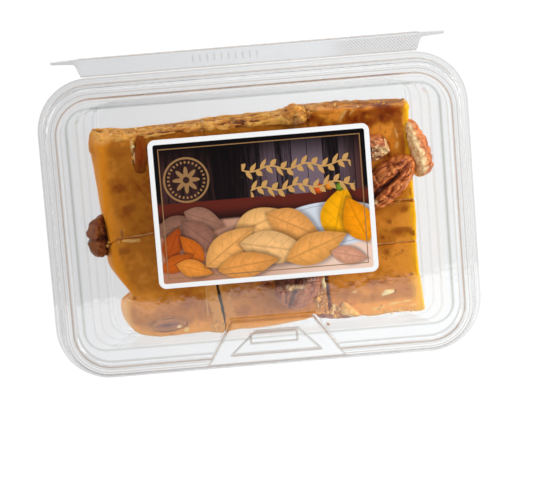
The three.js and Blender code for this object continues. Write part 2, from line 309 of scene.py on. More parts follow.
sheetWaves, waveIn, waveOut = newGroup("sheetWaves", {"Vector": None, "Wave Size": 60.0, "Draw Size": 400.0}, ["Height"])
fineWave = times(noise(waveIn["Vector"], waveIn["Draw Size"], 2.0), 0.12)
fill(waveOut, {"Height": plus(noise(waveIn["Vector"], waveIn["Wave Size"], 1.0), fineWave)})


def clearSheet(name, **changes):
    look = {**clearLook, **changes}
    material, mark, place, shader = newMaterial(name)
    tree = material.node_tree
    # the sheet is painted darker on the left than on the right, a painted shade, and darker along its bends by the line
    # mark, painted shade there too
    rightward = fade(splitUp(place)["X"], -0.09, 0.05)
    line = mark("line"), look["line"]
    waves = useGroup(sheetWaves, {"Vector": place, "Wave Size": look["waveSize"]})
    waved = bump(waves["Height"], look["waveStrength"], 0.001)
    fill(shader, {
        "Base Color": layered(look["leftTint"], (rightward, look["rightTint"]), line),
        "Roughness": look["roughness"], "IOR": look["ior"], "Transmission Weight": 1.0, "Normal": waved,
        "Coat Weight": look["gloss"], "Coat IOR": 1.5, "Coat Roughness": look["roughness"], "Coat Normal": waved})
    # light for what lies inside goes straight through
    path = addNode(tree, "ShaderNodeLightPath")
    passing = higher(path["Is Shadow Ray"], path["Is Diffuse Ray"])
    through = addNode(tree, "ShaderNodeBsdfTransparent", {"Color": look["shade"]})[0]
    # walls seen almost edge on keep a soft tone, a painted grey shade, darker on the left and along the bends
    turned = addNode(tree, "ShaderNodeLayerWeight", {"Blend": 0.5})["Facing"]
    wallTint = layered(look["leftWall"], (rightward, look["rightWall"]), line)
    wall = addNode(tree, "ShaderNodeBsdfTransparent", {"Color": wallTint})[0]
    share = fade(turned, 0.5, 0.85, 0.0, look["wallShare"])
    seen = addNode(tree, "ShaderNodeMixShader", {0: share, 1: shader.outputs[0], 2: wall})[0]
    mixed = addNode(tree, "ShaderNodeMixShader", {0: passing, 1: seen, 2: through})[0]
    fill(tree.nodes["Material Output"], {"Surface": mixed})
    return material


clearLook = {
    # leftTint and rightTint, and leftWall and rightWall, paint the sheet darker on the left than on the right, a
    # painted shade; line is the colour of the painted shade along the bends
    "leftTint": (0.85, 0.85, 0.853, 1.0), "rightTint": (0.94, 0.944, 0.943, 1.0),
    "leftWall": grey(0.87), "rightWall": (0.94, 0.945, 0.95, 1.0), "wallShare": 0.8,
    "line": (0.50, 0.41, 0.34, 1.0), "shade": grey(0.97),
    "roughness": 0.03, "ior": 1.13, "gloss": 1.0, "waveSize": 45.0, "waveStrength": 0.1,
}
lidSheet = clearSheet("clearLid")
traySheet = clearSheet("clearTray", leftWall=grey(0.965), rightWall=grey(0.99), wallShare=0.9, gloss=0.05,
                       ior=1.04, line=(0.55, 0.56, 0.52, 1.0), waveSize=60.0, waveStrength=0.14)
stripSheet = clearSheet("clearStrip", leftTint=(0.86, 0.86, 0.862, 1.0), rightTint=(0.93, 0.935, 0.94, 1.0),
                        roughness=0.12)

pack = {
    "halfWidth": 88.0,
    "lockEdge": -63.0,
    "hingeEdge": 62.2,
    "sheet": 0.5,
    "cornerSteps": 14,
    "cornerRadius": 22.0,
    # span and spacing of the close points along the lock
    "lockSpan": (-33.0, 36.0, 0.4),
}


def roundProfile(corners, steps=4):
    # corners are (how far in, height, size of the bend)
    made = []
    for k, (inset, z, bend) in enumerate(corners):
        here = np.array([inset, z])
        if bend == 0 or k in (0, len(corners) - 1):
            made.append(here)
            continue
        ends = []
        for other in (corners[k - 1], corners[k + 1]):
            way = np.array(other[:2]) - here
            length = np.linalg.norm(way)
            ends.append(here + way / length * min(bend, 0.5 * length))
        for t in np.linspace(0, 1, steps + 1):
            made.append((1 - t) ** 2 * ends[0] + 2 * t * (1 - t) * here + t * t * ends[1])
    return made


def closeUp(profile, spacing, first, last):
    # more points between two insets, so that no two lie further apart than spacing
    made = [profile[0]]
    for a, b in zip(profile, profile[1:]):
        count = 1
        if first <= a[0] and b[0] <= last:
            count = max(1, math.ceil(np.linalg.norm(b - a) / spacing))
        made += [a + (b - a) * (n + 1) / count for n in range(count)]
    return made


def packRing(x, y0, y1, radius):
    first, last, step = pack["lockSpan"]
    lockX = np.arange(first, last + 0.01, step)
    flat = x - radius
    front = [*np.linspace(-flat, lockX[0], 4, endpoint=False), *lockX, *np.linspace(lockX[-1], flat, 4)[1:]]
    bend = [(radius * math.cos(a), radius * math.sin(a)) for a in
            (math.radians(a) for a in np.linspace(0, 90, pack["cornerSteps"] + 1))][1:]
    ring = [(px, y0) for px in front]
    ring += [(flat + s, y0 + radius - c) for c, s in bend]
    ring += [(x, py) for py in np.linspace(y0 + radius, y1 - radius, 9)[1:]]
    ring += [(flat + c, y1 - radius + s) for c, s in bend]
    ring += [(px, y1) for px in np.linspace(flat, -flat, 25)[1:]]
    ring += [(-flat - s, y1 - radius + c) for c, s in bend]
    ring += [(-x, py) for py in np.linspace(y1 - radius, y0 + radius, 9)[1:]]
    ring += [(-flat - c, y0 + radius - s) for c, s in bend[:-1]]
    return ring


def shellFrom(name, rings, lines, outward):
    # rings of (x, y, z) in mm from the flange inwards, closed by a flat middle, and how dark each point is painted, the
    # painted shade along the sheet's bends
    count = len(rings[0])
    faces = ringFaces(len(rings), count, turned=not outward)
    middle = list(range((len(rings) - 1) * count, len(rings) * count))
    faces.append(middle if outward else middle[::-1])
    piece = newPiece(name, (np.concatenate(rings) - packShift) * mm, faces)
    storeMarks(piece, {"line": np.ravel(lines)})
    thicken(piece, pack["sheet"], True)
    return piece


lidForm = {
    "flangeTop": 32.6,
    "ridgeTop": 41.5,
    "panelTop": 38.8,
    "lockShift": 1.4,
    "wellDepth": 1.6,
    "barDrop": 0.3,
    # corners of the lock's raised figure and of the well in it, and the bar's ends and sides
    "plateau": [(-25.5, -59), (29, -59), (17.8, -42.4), (-15.4, -42.4)],
    "well": [(-17.2, -56.2), (20.6, -56.2), (11.4, -46.4), (-6.2, -46.4)],
    "bar": (-8.2, 10.6, -51.7, -47.6),
    # inset, darkness and half width of the lines of painted shade along the rim's bends
    "lines": [(0.5, 0.35, 0.3), (1.5, 0.2, 0.2), (2.4, 0.55, 0.25), (3.7, 0.2, 0.2), (4.7, 0.25, 0.2),
              (5.6, 0.6, 0.22), (6.6, 0.25, 0.2), (7.7, 1.0, 0.3), (9.4, 0.35, 0.22)],
}


def lockDepths(x, y):
    # how far a point lies inside the plateau, the well and the bar, negative outside
    depths = []
    for corners in (lidForm["plateau"], lidForm["well"]):
        depths.append(min(
            ((bx - ax) * (y - ay) - (by - ay) * (x - ax)) / math.hypot(bx - ax, by - ay)
            for (ax, ay), (bx, by) in zip(corners, corners[1:] + corners[:1])))
    x0, x1, y0, y1 = lidForm["bar"]
    return (*depths, min(x - x0, x1 - x, y - y0, y1 - y))


def lockHeight(x, y, z):
    plateau, well, bar = lockDepths(x, y)
    ridge, panel, deep, drop = (lidForm[key] for key in ("ridgeTop", "panelTop", "wellDepth", "barDrop"))
    z = max(z, panel + (ridge - panel) * ramp(-1.0, 0.0, plateau))
    return z - ramp(0.0, 0.7, well) * (deep - ramp(-0.5, 0.1, bar) * (deep - drop))


def lockLines(x, y, ridgeLine):
    # how dark the sheet is painted along the lock's edges, and along the ridge outside the lock: painted shade at its
    # bends
    plateau, well, bar = lockDepths(x, y)
    edges = 0.7 * bell(plateau + 0.5, 0.4) + 0.55 * bell(well - 0.3, 0.4) + 0.9 * bell(bar + 0.2, 0.3)
    return min(1, max(edges, ridgeLine * (1 - ramp(-1.0, 0.0, plateau))))


def makeLid():
    top, ridge, panel = lidForm["flangeTop"], lidForm["ridgeTop"], lidForm["panelTop"]
    profile = roundProfile([
        (0, top, 0), (2.4, top, 0.7), (2.55, 34.6, 0), (3.15, 40.4, 1.0), (4.1, ridge, 0.8),
        (7.4, ridge, 0.7), (8.3, 39.8, 0), (9.2, panel, 0.8), (24, panel, 0),
    ])
    for spacing, first, last in ((0.42, 3.0, 24.1), (1.5, -0.1, 3.3), (0.22, -0.1, 2.5), (0.22, 4.0, 9.8)):
        profile = closeUp(profile, spacing, first, last)
    rings, lines = [], []
    for inset, z in profile:
        dark = max(share * bell(inset - at, wide) for at, share, wide in lidForm["lines"])
        shift = lidForm["lockShift"] * min(1.0, inset / 2.4)
        radius = max(10, pack["cornerRadius"] - 0.9 * inset)
        y0, y1 = pack["lockEdge"] + inset - shift, pack["hingeEdge"] - inset
        ring = packRing(pack["halfWidth"] - inset, y0, y1, radius)
        rings.append([(x, y, lockHeight(x, y, z) if inset > 4 and y < -40 else z) for x, y in ring])
        lines.append([lockLines(x, y, dark) if inset > 4 and y < -40 else dark for x, y in ring])
    finishPiece(shellFrom("lidShell", rings, lines, True), lidSheet, "clear_lid", "lid")


trayForm = {
    "wallTop": 11.3,
    "footInset": 24.4,
    "steepness": 0.08,
    "hingeStep": 1.6,
    "footWidth": 3.5,
    "under": 31.2,
    # inset and darkness of the faint lines of painted shade down the end walls
    "endLines": [(15.2, 0.3), (18.0, 0.22), (21.4, 0.3)],
    "wall": [(13.3, 30.7), (14.3, 29), (15.4, 25), (16.8, 20), (18.8, 15), (20.9, 10), (22.9, 4.6), (23.4, 0.8)],
}


def trayRing(inset, further):
    form = trayForm
    across = inset
    if inset > form["wallTop"]:
        across = form["wallTop"] + (inset - form["wallTop"]) * form["steepness"]
    back = form["hingeStep"] * ramp(8.0, 11.3, inset)
    radius = max(8, pack["cornerRadius"] - 1.15 * (inset + further))
    y0 = pack["lockEdge"] + across + further
    y1 = pack["hingeEdge"] - across - back - further
    return packRing(pack["halfWidth"] - inset - further, y0, y1, radius)


def makeTray():
    under, foot, width = trayForm["under"], trayForm["footInset"], trayForm["footWidth"]
    wall = [(inset, z, 0.6) for inset, z in trayForm["wall"]]
    corners = [(0, under, 0), (trayForm["wallTop"], under, 0.8), *wall, (foot, 0, 1.4), (foot + width, 0, 0.8)]
    corners += [(foot + width + 1.4, 1.4, 1.0), (foot + width + 5, 1.4, 0)]
    rings, lines = [], []
    for inset, z in closeUp(closeUp(roundProfile(corners), 2.0, -0.1, 60), 0.6, 14.0, 23.0):
        within = min(inset, foot)
        ring = trayRing(within, inset - within)
        # painted shade along the rim's bend and down the end walls
        rim = bell(inset - 11.5, 0.5)
        bends = sum(share * bell(inset - at, 0.3) for at, share in trayForm["endLines"])
        rings.append([(x, y, z) for x, y in ring])
        lines.append([max(rim, bends * ramp(52, 62, abs(x))) for x, _ in ring])
    finishPiece(shellFrom("trayShell", rings, lines, False), traySheet, "clear_tray", "tray")


makeLid()
makeTray()
print("lid and tray made")

stripForm = {
    "halfLength": 69.0,
    "inner": 62.5,
    "outer": 70.2,
    "tabInner": 67.7,
    "tabTip": 80.3,
    "low": 31.2,
    "high": 32.6,
    "leaf": 0.4,
    "ribPitch": 1.3,
    "ribDepth": 0.1,
    "markPitch": 2.9,
    "markDepth": 0.15,
}


def makeStrip():
    form = stripForm
    inner0, tipAt, half = form["inner"], form["tabTip"], (form["high"] - form["low"]) / 2
    along = [*np.arange(-tipAt, -69.9, 0.5), *np.arange(-69.8, 69.81, 0.25), *np.arange(70.1, tipAt + 0.2, 0.5)]
    across = np.linspace(0, 1, 22)
    bend = [math.radians(a) for a in (67, 45, 22, 0, -22, -45, -67)]
    middle = (form["low"] + form["high"]) / 2
    vertices, lines = [], []
    for x in along:
        tab = ramp(form["halfLength"] - 1.0, form["halfLength"] + 2.0, abs(x))
        tip = np.clip((abs(x) - form["halfLength"]) / (tipAt - form["halfLength"]), 0, 1)
        inner = inner0 + (form["tabInner"] - inner0) * tab + 0.8 * tip
        outer = form["outer"] - half - 0.25 * tip
        thick = half * (1 - 0.45 * tip)
        for t in across:
            y = inner + (outer - inner) * t
            slant = 2 * math.pi * (x + 0.9 * (y - inner0)) / form["ribPitch"]
            ribbed = ramp(27, 43, x) * (1 - tab) * ramp(0, 0.12, t) * ramp(1, 0.85, t)
            rib = 0.5 - 0.5 * math.cos(slant)
            mark = ramp(-24, -22, x) * (1 - ramp(3, 5, x)) * ramp(0.3, 0.45, t) * ramp(0.85, 0.7, t)
            marked = mark * max(0, math.sin(2 * math.pi * x / form["markPitch"])) ** 3
            drop = form["ribDepth"] * ribbed * rib + form["markDepth"] * marked
            vertices.append((x, y, middle + thick - drop))
            # the lines are painted shade along the strip's rims, its rounded edge, its ribs and its marks
            rim = 0.75 * bell(t, 0.06) * (1 - 0.7 * tab) + 0.12 * tab
            lines.append(min(1, rim + 0.6 * ribbed * rib ** 2 + 0.3 * marked))
        vertices += [(x, outer + thick * math.cos(a), middle + thick * math.sin(a)) for a in bend]
        vertices += [(x, inner + (outer - inner) * t, middle - thick) for t in across[::-1]]
        lines += [0.5 - 0.35 * tab] * len(bend) + [0.12 * tab] * len(across)
    faces = ringFaces(len(along), 2 * len(across) + len(bend), closed=False, turned=True)
    piece = newPiece("tearStrip", (np.array(vertices) - packShift) * mm, faces)
    storeMarks(piece, {"line": lines})
    thicken(piece, form["leaf"], False)
    finishPiece(piece, stripSheet, "clear_strip", "tear_strip")


makeStrip()
print("strip made")

# Fudge. Places are in mm from the pack's middle, as seen from above with the hinge at the top.

fudge = {
    "voxel": 0.46,
    "bottom": 2.2,
    # corners of each crack, then the darkness of the painted shade in it and its half width in mm
    "cracks": {
        "left": ([(-21.2, 60), (-21, 36), (-20.4, 0), (-20.1, -30.8), (-18.5, -42), (-17.8, -60)], 0.95, 0.45),
        "right": ([(21.4, 60), (21.8, 39), (23.3, 0), (24.9, -30), (25.9, -44.6), (26.2, -60)], 0.7, 0.4),
        "leftAcross": ([(-70, -11.4), (-65, -11), (-61.7, -8.2), (-59.5, -6.9), (-50.4, -6.4), (-44, -5.7),
            (-20.4, -4.5)],
            0.55, 0.3),
        "rightAcross": ([(23.3, -2), (47.8, -1.6), (51.7, -0.4), (70, -0.4)], 0.6, 0.45),
        "fine": ([(23, -18.4), (47.7, -18.1), (70, -17.5)], 0.3, 0.26),
    },
    # corners of the outer edge on the left, where a painted glow of light through the edge makes the fudge golden
    "leftEdge": [
        (-62.8, 37), (-63.2, 30), (-63.8, 18), (-63.6, 6), (-62.4, -12), (-60, -23.5), (-55.6, -31.8),
        (-58.2, -34.6), (-59, -38), (-58, -43.6), (-55.2, -47.8), (-50, -49.2),
    ],
    # middle, half sizes and strength of broad tones, lighter above 0; the dark patch below the label at (0, -30.6) is a
    # painted shadow and the one right of the knob at (20.5, 37.9) painted shade in its hollow
    "tones": [
        (-60, -12, 5, 12, 0.2), (-52, -22, 9, 7, 0.14), (-60.5, 2, 3.5, 8, 0.14), (-57, 15.5, 3.5, 3.2, -0.26),
        (-52, 33.2, 7, 2.4, 0.22), (-50, -24, 4, 9, 0.1), (-50, 8, 3, 4, 0.08), (-56, 4, 3.2, 3, -0.14),
        (0, -45, 12, 1.8, 0.3), (48, -40.5, 9, 2, -0.14), (-38, -42.5, 6, 3, -0.14), (0, -30.6, 3, 1.4, -0.6),
        (-55, -35, 6, 3.5, 0.35), (-51, -40, 6, 5, 0.12), (50, 38, 13, 6, -0.38), (60, 37, 2.4, 3.4, 0.2),
        (60.5, 24, 2.6, 4, -0.4), (60, 29, 2.5, 2, 0.12), (60, 15, 3, 2.6, 0.5), (48, 33, 2.4, 2.4, -0.5),
        (31.2, 38.3, 4.4, 2.6, 0.7), (25.5, 37.9, 2, 2.6, -0.1), (20.5, 37.9, 2.4, 2.6, -0.7),
        (46.6, 39.5, 2.2, 2.6, -0.1), (51.2, 34.5, 2.8, 2.2, -0.5), (53.2, 40.2, 2.2, 1.6, -0.55),
        (48.9, 37.6, 1.8, 2.4, 0.45), (52.1, 30.3, 4.8, 2.6, 0.4), (40.6, 36.7, 3, 2.6, -0.3),
        (56.3, 37, 1.8, 2.4, -0.12), (60, 9.6, 3, 2.4, -0.25), (54, 3, 5, 5, -0.2), (49, -2.5, 4, 1.8, -0.28),
        (51, -9, 5, 3.2, 0.1), (60.5, -9, 3.4, 2.6, 0.3), (58, -13.6, 5, 2, -0.24), (59.5, -21, 4.5, 4, 0.46),
        (56, -27, 8, 3.6, 0.36), (30, -31, 8, 3, 0.08), (26, -44, 8, 4, 0.3), (52, -45, 12, 2.4, 0.3),
        (-30, -45, 14, 2.4, 0.12),
    ],
    # middle, half sizes, strength and turn, if any, of patches of one color
    # darker spots of the fudge; the small one at (-55, -32.3), in the notch's inner corner, is painted shade
    "stain": [
        (-55, -32.3, 1, 0.9, 0.7), (-57.8, 14.8, 2.6, 2.2, 0.6), (-53.4, 5.6, 2.9, 2.2, 0.7, 0.3),
        (-57.1, -11.6, 2.5, 2.2, 0.6), (-48.1, -5.2, 1.6, 1.2, 0.5), (-46.5, 1.2, 1.3, 1, 0.3),
        (-34.3, -37, 2.4, 2, 0.35), (-45.1, -40.2, 3.4, 2.4, 0.25), (-34.6, -45.8, 1.6, 1.4, 0.4),
        (-10.1, -41.2, 3.4, 2.4, 0.4), (-12.8, -32.8, 4.5, 2.6, 0.4), (-6.4, -36.4, 2.2, 1.8, 0.25),
        (1.1, -42.4, 1, 0.8, 0.6), (-15.3, -36.6, 0.9, 0.8, 0.4), (58.9, -3.8, 2, 1.7, 0.6),
        (52.7, -8.8, 1.2, 1.1, 0.8), (56.4, -12.6, 2.8, 1.5, 0.7, 0.1), (60.2, -12.6, 2, 1.4, 0.75),
        (62.7, -14, 1.5, 1.2, 0.9), (49.4, -15, 1, 0.9, 0.8), (50.6, -21.4, 1.4, 1.2, 0.6),
        (55, -22.6, 1.8, 0.8, 0.35, 0.2), (35.4, -33.4, 1.5, 1.2, 0.6), (44.6, -33.2, 2.8, 1.6, 0.5),
        (49, -33.6, 1.8, 1.2, 0.35), (60.3, -31.6, 0.9, 0.8, 0.9), (55, -31.8, 0.8, 0.7, 0.7),
        (61.5, 14, 2, 2.4, 0.5), (53, -38.2, 1.2, 0.8, 0.8, 0.2), (31, 28, 3, 2.4, 0.4), (62.4, 3.5, 1, 2, 0.5),
    ],
    # amber patches of the fudge; the thin one along the fold at (-48, 12.5) is painted shade
    "amber": [
        (-46.9, 27.8, 2.5, 7.6, 1, 0.06), (50.1, 37.6, 3.2, 2.4, 0.8, 0.2), (44.9, 33.8, 2.6, 3, 0.6, 0.4),
        (53.2, 40.8, 3, 1.4, 0.8), (40.6, 36.7, 2.4, 3, 0.5, 0.5), (30.6, 39.6, 4.4, 1.8, 0.5),
        (59, 35, 2.6, 7, 0.7), (27, 36.4, 5, 1.4, 0.6), (-31, 34.8, 12, 1.2, 0.3), (52, 34, 12, 8, 0.12),
        (61.5, 20, 1.6, 9, 0.5), (-57, 30, 5, 5, 0.25), (57.5, 15.5, 3.5, 4.5, 0.35, 0.3),
        (-43.6, 14, 3.6, 3, 0.35, 0.5), (-48, 12.5, 0.7, 7.5, 0.45, 0.6),
    ],
    # the same on the side towards the lock, as places along it and heights
    "lockAmber": [(-3, 5.2, 12, 3.4, 0.2), (-24, 9, 4, 3, 0.08), (50, 14, 0.9, 0.7, 0.4)],
    # pale bits of the fudge; the two short streaks near x 58 at y 23.6 and 27.8 are painted highlights
    "pale": [
        (50.2, -38.4, 2.6, 0.8, 1, 0.22), (36.3, -37, 1.1, 0.45, 0.8), (-34.4, -46.8, 1.2, 0.9, 0.9, 0.5),
        (-50.3, 28.6, 0.55, 5.4, 0.9, 0.06), (37.2, 38, 0.8, 3.8, 0.4, -0.6), (40.6, 38.4, 0.4, 2.2, 0.4, -0.7),
        (58.3, 27.8, 0.5, 2, 0.5, 0.2), (58.2, 23.6, 0.6, 1.6, 0.5, -0.2), (52, -43.4, 3.4, 0.5, 0.8, 0.1),
        (57.5, -42.9, 2.8, 0.45, 0.8, 0.05), (45.8, -44.6, 2.6, 0.5, 0.7, 0.2),
        (60.5, -44.8, 2.2, 0.4, 0.6, 0.1), (-54.3, -7.5, 3.6, 0.7, 0.9, -0.08), (49, 1.6, 2.2, 0.8, 0.7, -0.85),
        (-25.2, -36.5, 0.3, 7, 0.55), (-15.6, -34, 0.25, 3.4, 0.35, -0.35),
    ],
    "shadow": [
        (-57.7, -4.4, 0.4, 2.2, 0.7, 0.1), (-42, -44.4, 8, 2.2, 0.6, 0.06), (-42, -44.2, 11, 4.2, 0.25, 0.06),
        (51.6, 18.6, 4, 1.6, 0.6, -0.9), (18, 36.4, 2.4, 1.6, 0.5),
    ],
    "crumbly": [
        (22.2, -37.8, 2.5, 8, 1, 0.03), (-21.5, -46.4, 3.2, 1.5, 0.8), (28.6, -44.2, 6.4, 2.6, 0.8, -0.1),
        (52, -46.4, 13, 1, 0.6, 0.02), (56, -1, 8, 1.1, 0.7, 0.03), (17.4, 40, 3.6, 3.4, 0.8),
    ],
}


def fudgeMarks(places, facing):
    x, y, z = places.T
    field = fieldOver(places)
    up = ramp(0.45, 0.85, facing[:, 2])
    wander = field(2.2, 5)
    # the crusted edge towards the hinge, whose side is crusty in long layers
    crustFrom = 35.6 - 1.4 * ramp(-30, -50, x) + 1.6 * ramp(-56, -66, x) + 6.0 * ramp(20, 28, x)
    crust = ramp(crustFrom - 0.4, crustFrom + 0.5, y + 0.7 * wander) * ramp(10, 15, z)
    knob = np.exp(-((x - 17.5) ** 2 + (y - 40.0) ** 2) / 20) * ramp(12, 20, z)
    hingeFace = 0.95 * ramp(0.25, 0.7, facing[:, 1]) * ramp(30, 34, y)
    hingeFace *= 1 - ramp(22, 28, x) * ramp(13, 18, z + wander)
    layer = field(1.5, 83, 0.14, 1, 1) + 0.5 * field(0.8, 84, 0.3, 1, 1)
    layer += 0.6 * ramp(22, 28, x) - 0.3 * ramp(-36, -46, x)
    mauve = hingeFace * ramp(3, 6, z) * ramp(20, 15, z) * ramp(-0.5, 0.4, layer)
    crustTone = 0.16 * ramp(6, 2.5, z) + 0.08 * ramp(-34, -42, x) - 0.06 * ramp(-16, -8, x)
    crustTone += 0.12 * field(3.0, 85, 0.3, 1, 1)
    # cracks, painted dark with the shade down their gaps
    crackShade, gaps, jitter = np.zeros(len(x)), {}, 1 + 0.5 * field(1.4, 12)
    for name, (line, dark, width) in fudge["cracks"].items():
        gaps[name] = gap, _ = awayFromLine(x, y, line)
        width = width * jitter
        if "Across" in name:
            dark = dark * np.clip(0.6 + 0.8 * field(2.6, 13), 0, 1.2)
        crackShade = np.maximum(crackShade, dark * (1 - ramp(0.35 * width, 1.3 * width, gap)))
    crack = np.min([gap for gap, _ in gaps.values()], axis=0)
    crackShade *= ramp(30, 26, y) * 0.95 + 0.05
    lowWall = ramp(-44, -46, y) * ramp(23, 20, z) * (crack < 1.5)
    lockFace = np.maximum(ramp(0.4, 0.8, -facing[:, 1]), lowWall * ramp(0.7, 0.4, np.abs(facing[:, 2])))
    crackShade *= 1 - np.maximum(0.5 * lockFace, lowWall)
    # paler fudge smeared along the left crack
    leftGap, leftSide = gaps["left"]
    reach = np.where(leftSide > 0, 1.6 + 3.4 * ramp(-30, -38, y), 5.0) + 0.35 * field(4.0, 8, 0, 1, 0)
    smear = ramp(reach + 0.35, reach - 0.35, leftGap) * np.where(leftSide > 0, 0.6, 1.0) * ramp(-24, -28, y)
    # glow of light through the thin edges
    high = ramp(13, 20, z)
    edge = ramp(0.5, 0.85, facing[:, 0]) * ramp(12, 20, z) * (x > 55)
    edge = np.maximum(edge, ramp(60.7, 62.9, x + 0.5 * wander) * up)
    edge = np.maximum(edge, 0.4 * ramp(58.4, 62.4, x + 0.8 * wander) * up * ramp(4, -8, y)) * ramp(43, 40, y)
    rim, _ = awayFromLine(x, y, fudge["leftEdge"])
    wide = 4.2 + 2.4 * ramp(31, 35, y) + 0.6 * ramp(-12, -20, y)
    leftGlow = ramp(wide, 0.5, rim + 0.5 * wander) * (0.15 + 0.85 * ramp(-35, -25, y)) * high
    corner = ramp(5, 2, np.hypot(x + 62, y - 37)) * ramp(12, 20, z)
    corner = np.maximum(corner, 0.9 * ramp(2.6, 0.5, rim + 0.4 * wander) * ramp(-31, -34, y) * high)
    lockEdge = -45.0 + 2.8 * ramp(26, 40, x)
    endFace = 0.75 * ramp(0.4, 0.8, np.abs(facing[:, 0])) * ramp(22, 17, z + wander) * (np.abs(x) > 52)
    # broad tones
    mottle = 0.1 * field(8.0, 71) + 0.14 * field(3.4, 72) + 0.1 * field(1.5, 73)
    tone = 0.6 + mottle * (1 + 1.8 * ramp(26, 34, y) * ramp(14, 26, x)) + 0.1 * ramp(20, 40, x)
    for cx, cy, halfX, halfY, strength in fudge["tones"]:
        tone += strength * np.exp(-((x - cx) / halfX) ** 2 - ((y - cy) / halfY) ** 2)
    amber = patchField(places, fudge["amber"], 0.45, 31) * ramp(0.1, 0.6, facing[:, 2])
    lockAmber = patchField(places[:, [0, 2, 1]], fudge["lockAmber"], 0.3, 91) * lockFace
    marks = {
        name: patchField(places, fudge[name], rough, seed) * up
        for name, rough, seed in (("stain", 0.3, 21), ("pale", 0.35, 41), ("shadow", 0.2, 51), ("crumbly", 0.35, 61))}
    return {
        **marks,
        "tone": np.clip(tone, 0, 1),
        "crust": np.clip(np.maximum(crust, hingeFace) + knob, 0, 1),
        "mauve": mauve,
        "crustTone": crustTone,
        "corner": corner,
        "knob": knob,
        "amber": np.maximum(amber, lockAmber),
        "smear": smear * up,
        "crackGap": crack,
        "openCrack": (leftGap < 1.0) | (gaps["right"][0] < 0.9),
        "crackShade": crackShade,
        "edgeGlow": np.clip(edge, 0, 1),
        "leftGlow": leftGlow,
        "lockGlow": ramp(lockEdge + 1.6, lockEdge - 1.0, y + 0.6 * wander) * up,
        "lockFace": np.maximum(lockFace, endFace),
    }


def fudgeRelief(places, facing, marks):
    # how far each point moves out along its normal, in mm
    x, y, z = places.T
    field = fieldOver(places)
    swell = 0.24 * field(9.0, 1) + 0.1 * field(3.2, 2)
    grain = 0.05 * field(1.1, 3) + 0.025 * field(0.6, 11)
    ridged = 1 - np.abs(field(1.9, 4, 0.45, 1.2, 1.0))
    crustRise = 0.9 * (ridged - 0.62) + 0.6 * field(3.0, 6, 0.5, 1, 1)
    crustRise += 0.36 * field(1.0, 7, 0.7, 1, 1) + 0.16 * field(0.6, 17)
    crustRise -= 0.35 * ramp(-20, -45, x) * ramp(0.2, 0.7, facing[:, 1])
    # the crust is painted lighter where it rises and darker where it sinks, painted highlight and shade on its relief
    marks["lump"] = marks["crust"] * np.clip(0.5 + 0.8 * crustRise, 0, 1)
    knob = marks["knob"] * (1.7 + 0.6 * field(2.6, 14))
    crumble = ramp(1.3, 0.2, marks["crackGap"]) * ramp(17, 23, z)
    broken = crumble * (0.3 * field(1.5, 8) + 0.2 * field(0.8, 9) - 0.15)
    loose = marks["crumbly"] * (0.3 * field(1.1, 15) + 0.2 * field(0.7, 16) - 0.12)
    dent = -0.16 * ramp(0.3, 0.8, marks["stain"]) - 0.25 * marks["shadow"]
    ledge = 0.2 * marks["smear"] * (0.7 + 0.5 * field(2.0, 10))
    # the worn left edge, the corners and part of the edge towards the lock stand out
    level = ramp(12.5, 17, z)
    leftward = ramp(0.2, 0.75, -facing[:, 0]) * level * (x < -55)
    edge = leftward * (0.7 * ramp(-24, -16, y) + 0.7 * ramp(28, 30.5, y) * (1 + 0.3 * field(2.0, 18)))
    edge += 0.5 * ramp(0.2, 0.75, facing[:, 0]) * level * (x > 55)
    square = ramp(0.25, 0.48, np.abs(facing[:, 0]) * facing[:, 1]) * ramp(8, 13, z) * (y > 33)
    edge += square * np.where(x > 55, 1.0, np.where(x < -57, 0.7, 0))
    lockward = ramp(0.2, 0.75, -facing[:, 1]) * ramp(13, 18, z) * (y < -42)
    edge += lockward * (ramp(-16, -6, x) * ramp(19, 15, x) - 0.9 * ramp(17, 20, x) * ramp(38, 34, x))
    rise = swell + grain + marks["crust"] * crustRise + broken + loose + dent + ledge + 0.3 * marks["pale"]
    rise = np.clip(rise * ramp(2.4, 5.0, z), -1.2, 1.3) + edge + knob
    # cracks shut below their opening
    wall = ramp(0.75, 0.55, marks["crackGap"]) * ramp(0.5, 0.3, np.abs(facing[:, 2]))
    openTo = np.where((marks["openCrack"] > 0.5) & (y < 18), 22.0, np.where(y > 26, 28.0, 24.9))
    shut = np.where((y > 26) | ((y < -42) & (z < 21)), 0.6, 0.36)
    return np.where((wall > 0.5) & (z < openTo), shut, rise)


def makeFudgeBlock(name, material):
    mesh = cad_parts[name].data.copy()
    block = bpy.data.objects.new(name.replace("fudge_", "block_"), mesh)
    bpy.context.scene.collection.objects.link(block)
    with editing(mesh) as work:
        bmesh.ops.remove_doubles(work, verts=work.verts, dist=1e-6)
    for old in list(mesh.attributes):
        if old.name != "position" and not old.is_internal and not old.is_required:
            mesh.attributes.remove(old)
    makeEven(block, fudge["voxel"], 2)
    places, facing = points(block) / mm + packShift, normals(block)
    marks = fudgeMarks(places, facing)
    moved = places + facing * fudgeRelief(places, facing, marks)[:, None]
    moved[:, 2] = np.maximum(moved[:, 2], fudge["bottom"] - 0.2)
    placePoints(block, (moved - packShift) * mm)
    storeMarks(block, marks)
    finishPiece(block, material, "fudge", name)


